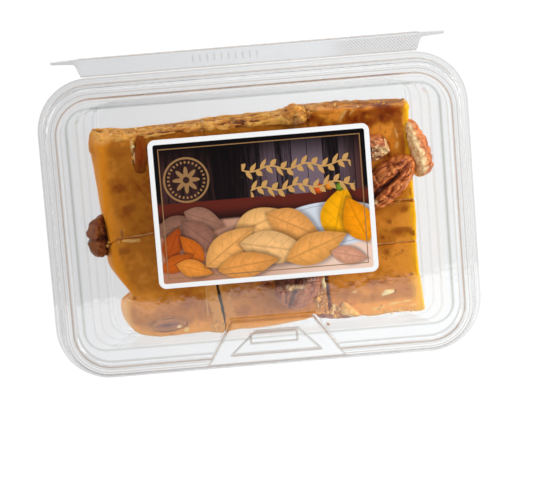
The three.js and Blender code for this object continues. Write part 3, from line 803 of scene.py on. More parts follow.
crumbGrain, grainIn, grainOut = newGroup(
    "crumbGrain", {"Vector": None, "Grain Size": 900.0, "Speck Amount": 0.5}, ["Height", "Specks", "Cloud"])
grainPlace = grainIn["Vector"]
speckCells = addNode(crumbGrain, "ShaderNodeTexVoronoi", {"Vector": grainPlace, "Scale": 520.0})["Distance"]
speckMask = calc("LESS_THAN", speckCells, fade(noise(grainPlace, 260.0, 1.0), 0.58, 0.72, 0.0, 0.34))
fill(grainOut, {
    "Height": noise(grainPlace, grainIn["Grain Size"], 3.0, 0.6),
    "Specks": times(speckMask, grainIn["Speck Amount"]),
    "Cloud": noise(grainPlace, 110.0, 3.0, 0.55)})

# edgeGlow, leftGlow, lockGlow and corner are a painted glow of light through the edges; shadow and crack are painted
# shade; the darkest colour is both the fudge's darkest tone and painted shade
fudgeColors = palette(
    burnt=(116, 42, 2), deep=(162, 80, 8), plain=(198, 120, 28), light=(236, 152, 52), lockFace=(255, 190, 122),
    edgeGlow=(255, 186, 22), leftGlow=(240, 150, 30), lockGlow=(250, 168, 66), smear=(228, 160, 78),
    crustLight=(246, 184, 92), crustMid=(204, 136, 60), crustDark=(104, 54, 24), crustMauve=(140, 88, 62),
    corner=(252, 190, 104), amber=(132, 50, 2), stain=(146, 68, 16), shadow=(122, 78, 66), pale=(244, 206, 130),
    crumbDark=(176, 118, 62), crumbPale=(248, 200, 124), crack=(52, 28, 18), speck=(150, 78, 26))


def fudgeMaterial():
    paint = fudgeColors
    material, mark, place, shader = newMaterial("panFudge")
    grain = useGroup(crumbGrain, {"Vector": place, "Grain Size": 900.0, "Speck Amount": 0.8})
    mottle = plus(times(grain["Cloud"], 0.3), minus(mark("tone"), 0.15))
    grit = noise(place, 1500.0, 3.0, 0.7)
    color = layered(
        paint["burnt"], (fade(mottle, 0.05, 0.35), paint["deep"]), (fade(mottle, 0.3, 0.62), paint["plain"]),
        (fade(mottle, 0.58, 0.95), paint["light"]), (fade(grit, 0.3, 0.48, 0.4, 0.0), paint["deep"]),
        (fade(grit, 0.54, 0.72, 0.0, 0.35), paint["light"]), (mark("lockFace"), paint["lockFace"]))
    streaks = noise(stretched(place, (0.4, 1.1, 1.6)), 500.0, 4.0, 0.65)
    # crust colours follow its own streaks, and its relief: lighter on its ridges, a painted highlight, darker in its
    # troughs, painted shade
    lump = plus(times(streaks, 0.5), plus(times(mark("lump"), 0.5), mark("crustTone")))
    crustColor = layered(
        paint["crustDark"], (fade(lump, 0.26, 0.42), paint["crustMid"]), (fade(lump, 0.45, 0.66), paint["crustLight"]),
        (times(mark("mauve"), fade(streaks, 0.34, 0.56, 1.0, 0.35)), paint["crustMauve"]))
    color = layered(color, (mark("crust"), crustColor))
    # painted one over the other: amber, the painted glows of light, the smear, stains with some painted shade, painted
    # shadow, and pale bits with some painted highlights
    for name, share in (("amber", 0.9), ("leftGlow", 0.85), ("corner", 0.7), ("lockGlow", 0.75), ("smear", 0.8),
                        ("edgeGlow", 1.0), ("stain", 0.9), ("shadow", 1.0), ("pale", 1.0)):
        color = layered(color, (times(mark(name), share), paint[name]))
    bits = noise(place, 1300.0, 2.0, 0.6)
    bitColor = layered(paint["crumbDark"], (fade(bits, 0.5, 0.6), paint["crumbPale"]))
    bitShare = fade(absolute(minus(bits, 0.52)), 0.02, 0.1)
    # the crack colour is painted shade in the cracks
    color = layered(color, (times(mark("crumbly"), bitShare), bitColor), (mark("crackShade"), paint["crack"]),
                    (times(grain["Specks"], 0.6), paint["speck"]))
    fill(shader, {
        "Base Color": color, "Roughness": fade(grain["Cloud"], 0.3, 0.7, 0.38, 0.55), "Specular IOR Level": 0.08,
        "Subsurface Weight": 0.3, "Subsurface Radius": (1.0, 0.42, 0.12), "Subsurface Scale": 0.003,
        "Normal": bump(grain["Height"], 0.35, 0.0004)})
    return material


fudgeLook = fudgeMaterial()
for blockName in sorted(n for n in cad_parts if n.startswith("fudge")):
    makeFudgeBlock(blockName, fudgeLook)
print("fudge made")

# Pecans. Size, place and turn are close to the solid's, and broken is the share that is missing.
# Spots and dim are patches of bare flesh and of shade, and the other values are shares from 0 to 1.

pecans = {
    "pecan_face_right": {"size": (27, 14.5, 7), "place": (53.6, 8.6, 26.2), "turn": (0, -3, 40), "grow": 0.3,
        "bulges": 6.5, "spots": [(47.4, 1.2, 1.6, 0.8, 0.9, -0.8)]},
    "pecan_face_piece": {"size": (19, 10.5, 6), "place": (50, 22.6, 26.2), "turn": (8, 4, -17), "broken": 0.2,
        "grow": 0.3, "bulges": 4.5, "mauve": 0.35, "pointed": True, "bare": ((0.35, -0.75, 0.4), 0.1, 0.5),
        "bareFrom": 47.5, "spots": [(53.5, 21.5, 3.5, 1.6, 1, -0.3)]},
    "pecan_face_lock": {"size": (28, 18.5, 7), "place": (14.2, -28.2, 25.6), "turn": (0, 3, 66), "grow": 0.3,
        "bulges": 7.5, "mauve": 0.55, "dark": 0.15, "wrinkle": 0.8, "dim": [(9, -29, 10, 3.2, 0.9)],
        "spots": [(11.6, -31.8, 4.2, 1.1, 0.95, 0.1), (8.6, -31.4, 1.4, 0.9, 0.7, 0.8)]},
    "pecan_side_right": {"size": (24, 13, 6.8), "place": (64.9, 21, 24), "turn": (108, 0, 101), "grow": 0.2,
        "taper": 0.3, "bulges": 6, "bare": ((-0.5, -0.1, 0.86), 0.3, 0.6), "bareFrom": 40,
        "dim": [(65.6, 24.4, 1.3, 1.6, 0.8), (64.2, 15, 1.2, 2.4, 0.9), (67, 19.6, 0.9, 2.2, 0.6, 0.2), (64.4, 29.5, 0.9, 1.6, 0.6)],
        "spots": [(66.5, 15.5, 2.6, 5, 1, 0.1)]},
    "pecan_side_left": {"size": (19, 17, 5.4), "place": (-65.8, -5.4, 21.2), "turn": (0, -110, 0), "grow": 0.2,
        "bulges": 5, "dark": 0.88, "split": 0.25, "blunt": 5, "dim": [(-66, -5.2, 6, 1, 1, 0.05)]},
    "pecan_lock_side": {"size": (26, 11.5, 4.1), "place": (29.6, -46.2, 14.4), "turn": (-90, 7, 180),
        "broken": 0.16, "grow": 0.2, "bulges": 6.5, "mauve": 0.45, "front": True, "cutTone": 0.3, "blunt": 1.7,
        "spots": [(23.6, 14, 2.6, 1.5, 0.9, 0.3), (29, 14.4, 4.6, 0.8, 0.9, 0.05), (35, 15.2, 2.4, 0.6, 0.8, 0.1)]},
    "pecan_sliver_lock": {"size": (14, 4.4, 0.75), "place": (-41.4, -44.6, 24.5), "turn": (0, 2, 2),
        "grow": 0.3, "bulges": 5, "mauve": 1, "wrinkle": 0.6, "soft": 1,
        "dim": [(-43, -44.4, 5, 0.8, 0.7, 0.05)], "spots": [(-37.4, -45.6, 1.2, 0.9, 0.9, 0.2)]},
    "pecan_sliver_hinge": {"size": (15, 4.8, 1.3), "place": (-47.2, 28, 24.7), "turn": (0, 0, 84), "grow": 0.3,
        "bulges": 5, "amber": 1, "wrinkle": 0.3, "blunt": 14, "ragged": 0.24, "soft": 0.5,
        "dim": [(-47.6, 22.6, 2.2, 2.6, 0.5)], "spots": [(-50.2, 30, 0.6, 5, 0.9, 0.06)]},
}
pecanShape = {"around": 144, "stations": 120}


def kernelForm(form, seed):
    length, width, height = form["size"]
    grow = form["grow"]
    around, stations = pecanShape["around"], pecanShape["stations"]
    angles = np.linspace(0, 2 * math.pi, around, endpoint=False)
    shares = 0.5 - 0.4995 * np.cos(np.linspace(0, math.pi, stations))
    t, angle = np.meshgrid(shares, angles, indexing="ij")
    across, up = np.cos(angle), np.sin(angle)
    flat = fieldOver(np.column_stack([t.ravel() * length, across.ravel() * width * 0.5, up.ravel() * height]))

    def field(apart, extra, *scales):
        return flat(apart, seed + extra, *scales).reshape(t.shape)

    bend = field(6.0, 1, 1, 0, 0)
    side = np.sign(across)
    lengthwise = 2 * t - 1
    inner = ramp(0.98, 0.8, np.abs(lengthwise))
    swell = (1 - np.abs(lengthwise) ** form.get("blunt", 2.4)) ** 0.47 * (1 - form.get("taper", 0.1) * lengthwise)
    phase = form["bulges"] * t + 0.3 * bend + 0.22 * side + 0.5 * field(4.0, 9, 1, 1, 0) - 0.55 * np.abs(across)
    notches = (0.5 + 0.5 * np.cos(2 * math.pi * phase)) ** 2 * inner
    outline = 1 + form.get("ragged", 0.05) * field(3.0, 2, 1, 0.2, 0) - 0.06 * notches
    # the middle valley, the furrow on each side of it and the creases
    valley = np.exp(-np.abs((across - 0.14 * bend) / 0.2) ** 1.7) * (0.72 - 0.16 * lengthwise)
    furrowAt = 0.55 + 0.2 * field(4.5, 3, 1, 0, 0) * side
    furrow = bell(np.abs(across) - furrowAt, 0.1) * inner * (0.6 + 0.5 * field(5.0, 10, 1, 1, 0))
    crease = bell(field(2.0, 4, 0.45, 1.5, 1), 0.17) * inner
    fineCrease = bell(field(1.1, 6, 0.8, 1.3, 1), 0.2) * inner
    depth = 0.5 * valley + 0.18 * furrow + 0.14 * crease + 0.045 * fineCrease
    depth = form.get("wrinkle", 1.0) * (depth + 0.1 * notches * ramp(0.1, 0.4, np.abs(across)))
    rise = np.where(up > 0, height, 0.4 * height) * (1 - depth + 0.07 * field(2.6, 5, 0.8, 1.2, 1))
    tip = 0.07 * bell(across, 0.3) * np.abs(lengthwise) ** 6
    split = form.get("split", 0.0) * bell(across, 0.22) * ramp(0.3, 1.0, lengthwise)
    x = lengthwise * 0.5 * (length + 2 * grow) * (1 - tip - split)
    y = across * (width / 2 + grow) * swell * outline
    z = up * (rise + grow) * (0.25 + 0.75 * swell)
    local = np.column_stack([x.ravel(), y.ravel(), z.ravel()])
    return local, solidFaces(stations, around), np.clip(1.7 * (depth + 2 * split), 0, 1).ravel()


def cutEnd(work, form):
    # breaks the kernel's end off along each plane
    for way in [(0.8, 0.6, 0.2), (0.75, -0.65, 0.3)] if "pointed" in form else [(1, 0.25, 0.3)]:
        end = form["size"][0] * (0.5 - form["broken"])
        whole = [*work.verts, *work.edges, *work.faces]
        cut = bmesh.ops.bisect_plane(work, geom=whole, plane_co=(end, 0, 0), plane_no=way, clear_outer=True)
        rim = [e for e in cut["geom_cut"] if isinstance(e, bmesh.types.BMEdge)]
        filled = bmesh.ops.triangle_fill(work, edges=rim, use_beauty=True)
        layer = work.verts.layers.float.get("flesh")
        for face in (f for f in filled["geom"] if isinstance(f, bmesh.types.BMFace)):
            for vertex in face.verts:
                vertex[layer] = form.get("cutTone", 1.0)


def makePecan(name, material, seed):
    form = pecans[name]
    local, faces, depth = kernelForm(form, seed)
    piece = newPiece(name.replace("pecan_", "kernel_"), local, faces)
    storeMarks(piece, {"depth": depth, "flesh": np.zeros(len(depth))})
    with editing(piece.data) as work:
        bmesh.ops.recalc_face_normals(work, faces=work.faces)
        if "broken" in form:
            cutEnd(work, form)
        bmesh.ops.triangulate(work, faces=[f for f in work.faces if len(f.verts) > 4])
    local = points(piece)
    layer = piece.data.attributes.new("kernel", "FLOAT_VECTOR", "POINT")
    layer.data.foreach_set("vector", np.ascontiguousarray(local * mm, np.float32).ravel())
    turnX, turnY, turnZ = (Matrix.Rotation(math.radians(a), 3, axis) for a, axis in zip(form["turn"], "XYZ"))
    places = local @ np.array(turnZ @ turnY @ turnX).T + np.array(form["place"])
    placePoints(piece, places)
    facing, field = normals(piece), fieldOver(places)
    flesh = np.empty(len(places))
    stored = piece.data.attributes["flesh"].data
    stored.foreach_get("value", flesh)
    seen = -facing[:, 1] if "front" in form else facing[:, 2]
    across = places[:, [0, 2, 1]] if "front" in form else places
    flesh = np.maximum(flesh, patchField(across, form.get("spots", []), 0.35, seed) * ramp(0, 0.4, seen))
    if "bare" in form:
        # broken open, with the pale flesh showing, where the surface faces this way
        way, low, high = form["bare"]
        turned = facing @ np.array(way) + 0.12 * field(1.5, seed + 2)
        flesh = np.maximum(flesh, ramp(low, high, turned) * (places[:, 0] > form["bareFrom"]))
        rough = 0.35 * field(1.6, seed + 3) + 0.2 * field(0.8, seed + 4) - 0.3
        places = places + facing * (flesh * rough)[:, None]
    stored.foreach_set("value", flesh.astype(np.float32))
    outward = np.hypot(*(local[:, :2] / (0.5 * np.array(form["size"][:2]))).T)
    outward += 0.12 * randomField(places, 1.5, seed + 5)
    storeMarks(piece, {
        **{mark: np.full(len(places), form.get(mark, 0.0)) for mark in ("mauve", "dark", "amber")},
        "soft": form.get("soft", 0.0) * ramp(0.3, 0.95, outward),
        "dim": patchField(places, form.get("dim", []), 0.35, seed + 6)})
    placePoints(piece, (places - packShift) * mm)
    finishPiece(piece, material, "pecan", name)


# skinLight is partly a painted highlight and groove partly painted shade
pecanColors = palette(
    skin=(164, 72, 24), skinLight=(238, 144, 74), groove=(78, 32, 18), flesh=(255, 224, 172),
    fleshDeep=(228, 172, 108), mauve=(140, 84, 72), dark=(74, 28, 10), amber=(150, 54, 0), soft=(190, 124, 66),
    softAmber=(158, 88, 18))


def pecanMaterial(name, roughness, specular):
    paint = pecanColors
    material, mark, _, shader = newMaterial(name)
    local, depth, amber = mark("kernel", "Vector"), mark("depth"), mark("amber")
    # the skin is lighter on the lobes and darker down the grooves by depth: partly its own colour, partly painted
    # highlight and painted shade; dim patches are painted shade
    light = minus(noise(stretched(local, (0.5, 1.6, 1.0)), 520.0, 4.0, 0.65), times(depth, 0.35))
    softColor = layered(paint["soft"], (amber, paint["softAmber"]))
    fleshColor = layered(paint["fleshDeep"], (fade(noise(local, 700.0, 3.0, 0.6), 0.35, 0.6), paint["flesh"]))
    color = layered(
        paint["skin"], (fade(light, 0.28, 0.56), paint["skinLight"]), (fade(depth, 0.2, 0.8), paint["groove"]),
        (times(mark("mauve"), 0.75), paint["mauve"]), (times(mark("dark"), 0.85), paint["dark"]),
        (times(amber, 0.85), paint["amber"]), (fade(depth, 0.35, 0.9, 0.0, 0.7), paint["groove"]),
        (times(mark("dim"), 0.75), paint["groove"]), (mark("soft"), softColor), (mark("flesh"), fleshColor))
    fill(shader, {
        "Base Color": color, "Roughness": roughness, "Specular IOR Level": specular, "Subsurface Weight": 0.08,
        "Subsurface Scale": 0.001, "Normal": bump(noise(local, 1500.0, 3.0, 0.6), 0.4, 0.0003)})
    return material


pecanLook = pecanMaterial("pecanSkin", 0.33, 0.4)
amberLook = pecanMaterial("pecanAmber", 0.8, 0.04)
for k, pecanName in enumerate(pecans):
    makePecan(pecanName, amberLook if "amber" in pecans[pecanName] else pecanLook, 20 + 7 * k)
print("pecans made")

# Crumbs and flakes

crumbs = {
    # corners of each area with its height, crumbs per square mm, smallest and largest half size in mm,
    # and darkest and palest tone
    "areas": {
        "rightCrack": (
            [(20.2, -31, 25.3), (24.8, -31, 25.3), (25.4, -45, 25.3), (20.4, -45, 25.3)],
            0.8, 0.2, 0.5, 0.3, 1),
        "rightFoot": (
            [(22.4, -42, 25.5), (34, -41.4, 25.5), (36.4, -46.6, 25.5), (22.6, -46.4, 25.5)],
            0.55, 0.3, 0.85, 0.45, 0.95),
        "leftFoot": (
            [(-25, -44.6, 25.4), (-18.4, -43.6, 25.4), (-18.8, -47.4, 25.2), (-23.4, -48.2, 25.2)],
            0.6, 0.3, 0.8, 0.35, 0.8),
        "leftAcross": (
            [(-60.4, -5.8, 25.5), (-50, -6.4, 25.5), (-50, -8.6, 25.5), (-60, -8.2, 25.5)],
            0.5, 0.2, 0.5, 0.4, 0.9),
        "rightAcross": (
            [(47, 0.2, 25.4), (64, 0.8, 25.4), (64, -1.8, 25.4), (47, -2.2, 25.4)],
            0.7, 0.2, 0.5, 0.05, 0.7),
        "crust": (
            [(-65, 36.6, 25.2), (12, 36.6, 25.2), (12, 39.6, 24.6), (-65, 38.4, 24.6)],
            0.1, 0.25, 0.8, 0.4, 0.9),
        "crustRight": (
            [(24, 40.6, 25.2), (63, 40.6, 25.2), (63, 42.4, 24.8), (24, 42.2, 24.8)],
            0.1, 0.25, 0.6, 0.2, 0.95),
        "rimLeft": (
            [(-62, 37, 25.2), (-32, 37.4, 25.2), (-32, 38.2, 19), (-62, 37.6, 19)],
            0.1, 0.25, 0.7, 0.4, 0.95),
        "rimMiddle": (
            [(-32, 37.4, 25.4), (12, 39.2, 25.6), (12, 40, 19), (-32, 38.2, 19)],
            0.05, 0.25, 0.7, 0.3, 0.8),
        "rimRight": (
            [(24, 40.9, 25.6), (62, 39.6, 25.4), (62, 40.2, 19), (24, 41.5, 19)],
            0.04, 0.25, 0.6, 0.2, 0.9),
        "sliverRim": (
            [(-51.2, 23.6, 25.4), (-49.8, 23.6, 25.5), (-49.6, 34.4, 25.5), (-51, 34.4, 25.4)],
            0.9, 0.2, 0.6, 0.7, 1),
        "lockRim": (
            [(38, -46.8, 24.9), (64, -45.6, 24.2), (64, -47.6, 23.8), (38, -48, 24.6)],
            0.7, 0.2, 0.6, 0.75, 1),
        "knob": (
            [(13.4, 37.4, 26.6), (21.6, 37.4, 26.6), (21.6, 42.2, 26.4), (13.4, 42.2, 26.4)],
            0.2, 0.4, 1, 0.25, 0.6),
        "leftSide": (
            [(-64.2, -7, 24.4), (-62.4, -7, 24.8), (-62.4, -10.4, 24.8), (-64.2, -10.4, 24.4)],
            0.7, 0.3, 0.8, 0.3, 0.8),
    },
    # corners of each flake, low and high in mm, and tone from dark to pale
    "flakes": {
        "pointedFlake": ([(31.2, -40.6), (33.4, -41.8), (36.1, -44.6), (38.6, -47.2), (36.4, -47.5),
            (33.2, -46.6), (30.6, -46.2), (30, -44.2)],
            24.4, 27.2, 0.78),
        "paleBar": ([(-57.9, -6.9), (-55.4, -6.7), (-50.4, -7.5), (-50.8, -8.7), (-54.7, -8.2), (-58, -7.9)],
            25, 25.9, 0.8),
        "paleSliver": ([(22.9, -30.2), (24.3, -29.9), (24.5, -34.4), (23.3, -34.7)], 25, 26, 1),
        "goldFlake": ([(19.6, -38.2), (21.1, -37.3), (22.5, -39.2), (20.8, -40.5)], 25, 26.1, 0.7),
        "whiteCrumb": ([(25.8, -43.8), (27.6, -43), (28, -44), (26.2, -44.8)], 25.2, 26.3, 1),
        "nutSliver": ([(47.3, -38.9), (49.3, -37.2), (52.7, -37.5), (53.1, -38.5), (49.7, -39.3), (47.7, -39.8)],
            25.2, 25.9, 0.95),
        "footFlake": ([(-24.9, -45.2), (-22, -44.6), (-19.2, -46.2), (-20, -48.6), (-23, -49.2)],
            23.8, 25.8, 0.6),
        "knobLump": ([(11.6, 39), (12.8, 41.8), (16, 43.2), (19.4, 42.6), (20.6, 40), (19.2, 37.2),
            (16.6, 36.2), (13.4, 36.8)],
            21.5, 28.6, 0.3),
        "trayCrumb": ([(24.4, -54), (25.6, -53.4), (26, -54.6), (24.9, -55.2)], 5.4, 6.4, 0.6),
    },
    # middle, size and height in mm of the lumps and hollows of the knob
    "knobBumps": [(19, 38.8, 1.3, -1.4), (15.6, 40.4, 1.5, 0.8), (17.6, 42, 1.2, 0.6), (13.2, 38, 1.3, 0.5)],
}
crumbColors = palette(dark=(128, 76, 36), middle=(206, 134, 58), light=(250, 186, 92), pale=(252, 228, 170))


def crumbTree():
    tree = bpy.data.node_groups.new("crumbScatter", "GeometryNodeTree")
    for name, kind in (("Area", "Geometry"), ("Per Area", "Float"), ("Smallest", "Float"), ("Largest", "Float"),
                       ("Darkest", "Float"), ("Palest", "Float"), ("Seed", "Int"), ("Material", "Material")):
        tree.interface.new_socket(name, in_out="INPUT", socket_type="NodeSocket" + kind)
    tree.interface.new_socket("Crumbs", in_out="OUTPUT", socket_type="NodeSocketGeometry")
    given = tree.nodes.new("NodeGroupInput").outputs

    def add(kind, values, output=0, **settings):
        return addNode(tree, kind, values, **settings)[output]

    def between(low, high, seed):
        return add("FunctionNodeRandomValue", {2: low, 3: high, "Seed": seed}, 1)

    def vectorBetween(low, high, seed):
        return add("FunctionNodeRandomValue", {0: low, 1: high, "Seed": seed}, data_type="FLOAT_VECTOR")

    def scaled(vector, scale):
        return add("ShaderNodeVectorMath", {0: vector, "Scale": scale}, operation="SCALE")

    spots = add("GeometryNodeDistributePointsOnFaces", {
        "Mesh": given["Area"], "Density": given["Per Area"], "Seed": given["Seed"]}, "Points")
    ball = add("GeometryNodeMeshIcoSphere", {"Radius": 1.0, "Subdivisions": 3}, "Mesh")
    stretch = vectorBetween((0.7, 0.6, 0.5), (1.3, 1.0, 0.9), 5)
    turn = add("FunctionNodeEulerToRotation", {0: vectorBetween((0, 0, 0), (6.28, 6.28, 6.28), 9)})
    placed = add("GeometryNodeInstanceOnPoints", {
        "Points": spots, "Instance": ball, "Rotation": turn,
        "Scale": scaled(stretch, between(given["Smallest"], given["Largest"], given["Seed"]))})
    tone = between(given["Darkest"], given["Palest"], 17)
    toned = add("GeometryNodeStoreNamedAttribute", {"Geometry": placed, "Name": "tone", "Value": tone},
                domain="INSTANCE")
    real = add("GeometryNodeRealizeInstances", {0: toned})
    bumps = add("ShaderNodeTexNoise", {"Scale": 1100.0, "Detail": 1.0}, "Color")
    shove = scaled(add("ShaderNodeVectorMath", {0: bumps, 1: (0.5, 0.5, 0.5)}, operation="SUBTRACT"), 0.001)
    moved = add("GeometryNodeSetPosition", {"Geometry": real, "Offset": shove})
    coated = add("GeometryNodeSetMaterial", {"Geometry": moved, "Material": given["Material"]})
    tree.links.new(coated, tree.nodes.new("NodeGroupOutput").inputs[0])
    return tree


def runNodes(piece, tree, values):
    # sets the named inputs, applies the tree and keeps a plain mesh
    modifier = addModifier(piece, "NODES", node_group=tree)
    for item in tree.interface.items_tree:
        if item.item_type == "SOCKET" and item.in_out == "INPUT" and item.name in values:
            modifier[item.identifier] = values[item.name]
    applyModifiers(piece)


def crumbMaterial():
    paint = crumbColors
    material, mark, place, shader = newMaterial("fudgeCrumb")
    tone = plus(times(noise(place, 900.0, 2.0), 0.3), minus(mark("tone"), 0.15))
    grain = useGroup(crumbGrain, {"Vector": place, "Grain Size": 1200.0})
    fill(shader, {
        "Base Color": layered(
            paint["dark"], (fade(tone, 0.05, 0.35), paint["middle"]), (fade(tone, 0.45, 0.75), paint["light"]),
            (fade(tone, 0.8, 0.97), paint["pale"])),
        "Roughness": 0.55, "Specular IOR Level": 0.2, "Subsurface Weight": 0.2, "Subsurface Scale": 0.001,
        "Normal": bump(grain["Height"], 0.4, 0.0003)})
    return material


def makeCrumbs(material):
    tree = crumbTree()
    for seed, (name, (corners, density, smallest, largest, darkest, palest)) in enumerate(crumbs["areas"].items()):
        piece = newPiece("crumbs_" + name, (np.array(corners) - packShift) * mm, [(0, 1, 2, 3)])
        runNodes(piece, tree, {"Per Area": density * 1e6, "Smallest": smallest * mm, "Largest": largest * mm,
                               "Darkest": darkest, "Palest": palest, "Seed": 30 + seed, "Material": material})
        finishPiece(piece, material, "fudge")


def makeFlake(name, material, seed):
    corners, low, high, tone = crumbs["flakes"][name]
    middle = np.mean(corners, axis=0)
    vertices = [(x, y, low) for x, y in corners] + [(x, y, low + 0.6 * (high - low)) for x, y in corners]
    vertices += [(*(middle + 0.55 * (np.array(c) - middle)), high) for c in corners]
    piece = newPiece(name, np.array(vertices) * mm, solidFaces(3, len(corners)))
    with editing(piece.data) as work:
        bmesh.ops.recalc_face_normals(work, faces=work.faces)
    makeEven(piece, 0.2, 3)
    places, facing = points(piece) / mm, normals(piece)
    field = fieldOver(places)
    bumps = 0.22 * field(1.3, seed) + 0.12 * field(0.6, seed + 1)
    tall = high - low > 4
    if tall:
        bumps += 0.6 * field(1.9, seed + 3)
        for cx, cy, wide, rise in crumbs["knobBumps"]:
            bumps += rise * np.exp(-((places[:, 0] - cx) ** 2 + (places[:, 1] - cy) ** 2) / wide ** 2)
    places = places + facing * bumps[:, None]
    placePoints(piece, (places - packShift) * mm)
    # the knob is painted lighter on its lumps and darker in its hollows: painted highlight and shade
    storeMarks(piece, {"tone": tone + 0.12 * randomField(places, 1.0, seed + 2) + 0.6 * bumps * tall})
    finishPiece(piece, material, "fudge")


crumbLook = crumbMaterial()
makeCrumbs(crumbLook)
for k, flakeName in enumerate(crumbs["flakes"]):
    makeFlake(flakeName, crumbLook, 70 + 5 * k)
print("crumbs made")

# Label

label = {"width": 90.2, "depth": 61.7, "radius": 3.0, "x": 1.2, "y": 4.6, "low": 38.9, "thick": 0.25}


def makeLabel(material):
    halfX, halfY, radius = label["width"] / 2, label["depth"] / 2, label["radius"]
    outline = []
    for cx, cy, start in ((1, -1, -90), (1, 1, 0), (-1, 1, 90), (-1, -1, 180)):
        for angle in (math.radians(start + 7.5 * k) for k in range(13)):
            outline.append((cx * (halfX - radius) + radius * math.cos(angle),
                            cy * (halfY - radius) + radius * math.sin(angle)))
    vertices = []
    for inward, up in ((0.0, 0.0), (0.0, 0.7), (0.12, 1.0)):
        for x, y in outline:
            shrink = 1 - inward / math.hypot(x, y)
            vertices.append((x * shrink + label["x"], y * shrink + label["y"], label["low"] + label["thick"] * up))
    piece = newPiece("labelSticker", (np.array(vertices) - packShift) * mm, solidFaces(3, len(outline)))
    smoothFaces(piece.data, False)
    finishPiece(piece, material, "label_print", "label")


printLeaf, leafIn, leafOut = newGroup(
    "printLeaf", {"Vector": None, "Centre": None, "Turn": 0.0, "Length": 10.0, "Width": 5.0},
    ["Mask", "Vein", "Shade", "Shadow"])
leafPlace = addNode(printLeaf, "ShaderNodeVectorMath", {0: leafIn["Vector"], 1: leafIn["Centre"]},
                    operation="SUBTRACT")[0]
leafXY = splitUp(addNode(printLeaf, "ShaderNodeVectorRotate", {
    "Vector": leafPlace, "Angle": times(leafIn["Turn"], -1.0)}, rotation_type="Z_AXIS")[0])
# shares of the way to the leaf's tip and to its side
tipward = over(times(leafXY["X"], 2.0), leafIn["Length"])
tipwardFar = times(tipward, tipward)
tipward = higher(lower(tipward, 1.0), -1.0)
sideward = absolute(over(times(leafXY["Y"], 2.0), leafIn["Width"]))
leafEdge = times(minus(1.0, times(tipward, tipward)), plus(times(tipward, -0.3), 1.0))
leafInside = minus(leafEdge, sideward)
ribs = calc("SINE", plus(times(sideward, -6.0), times(tipward, 16.0)))
fill(leafOut, {
    "Mask": fade(leafInside, 0.0, 0.08),
    "Vein": higher(fade(sideward, 0.03, 0.09, 1.0, 0.0), times(fade(ribs, 0.86, 1.0), 0.6)),
    "Shade": fade(leafInside, 0.0, 0.8, 0.55, 1.0),
    "Shadow": fade(minus(minus(1.15, tipwardFar), sideward), -0.2, 0.25)})

labelArt = {
    # middle, turn in degrees, length, width and color of each leaf, from the back to the front
    "leaves": [
        ((-35.5, -5.5), 14, 19, 10, (138, 96, 78)), ((-24.5, -3.2), -24, 18, 9, (158, 112, 92)),
        ((-26, -10.5), -42, 20, 10, (150, 102, 84)), ((-38, -12.5), 66, 15, 8, (176, 76, 18)),
        ((-30.5, -15), 128, 15, 7, (208, 104, 24)), ((-37, -20.5), 24, 15, 7, (196, 92, 20)),
        ((-30, -23.5), -18, 16, 7.5, (236, 146, 56)), ((30.5, -5), 74, 24, 15, (255, 176, 0)),
        ((38, -8.5), 112, 21, 13, (250, 152, 0)), ((-1.5, -6.5), 18, 25, 13, (244, 184, 112)),
        ((12, -9), -28, 25, 13, (238, 164, 86)), ((-15, -15.5), 36, 26, 13, (242, 172, 94)),
        ((3.5, -17.5), -12, 30, 14, (246, 190, 124)), ((20.5, -18.5), 20, 28, 13, (240, 166, 84)),
        ((-8, -23.5), 6, 26, 11, (236, 158, 78)), ((33.5, -23), -14, 16, 7.5, (222, 160, 130)),
    ],
    # middle, radius and color
    "berries": [
        ((23, 5.6), 2.3, (214, 84, 26)), ((27.4, 6.6), 2.1, (232, 136, 34)), ((31.6, 5.6), 1.9, (112, 140, 40)),
    ],
    # heights of the stems, then middle and radius of the ring
    "garlands": [15.6, 7.2],
    "emblem": (-30.5, 13.5, 9),
}
labelColors = palette(
    paper=(240, 241, 241), edge=(12, 9, 10), gold=(196, 150, 88), goldLine=(150, 112, 72),
    boardDark=(18, 12, 14), boardBrown=(74, 44, 42), boardMauve=(112, 94, 104), shelf=(92, 34, 24),
    shelfDark=(40, 18, 16), table=(176, 120, 92), tableLight=(232, 200, 182), plate=(206, 212, 222))


def insideBox(x, y, halfX, halfY, radius):
    # distance outside a rectangle with round corners, negative inside
    gapX, gapY = minus(absolute(x), halfX - radius), minus(absolute(y), halfY - radius)
    corner = lengthOf(higher(gapX, 0.0), higher(gapY, 0.0))
    return minus(plus(corner, lower(higher(gapX, gapY), 0.0)), radius)


def lengthOf(x, y):
    return squareRoot(plus(times(x, x), times(y, y)))


def ringLine(away, wide, soft, share=1.0):
    # a line where the distance is 0, with soft edges
    return fade(absolute(away), wide, soft, 0.0, share)


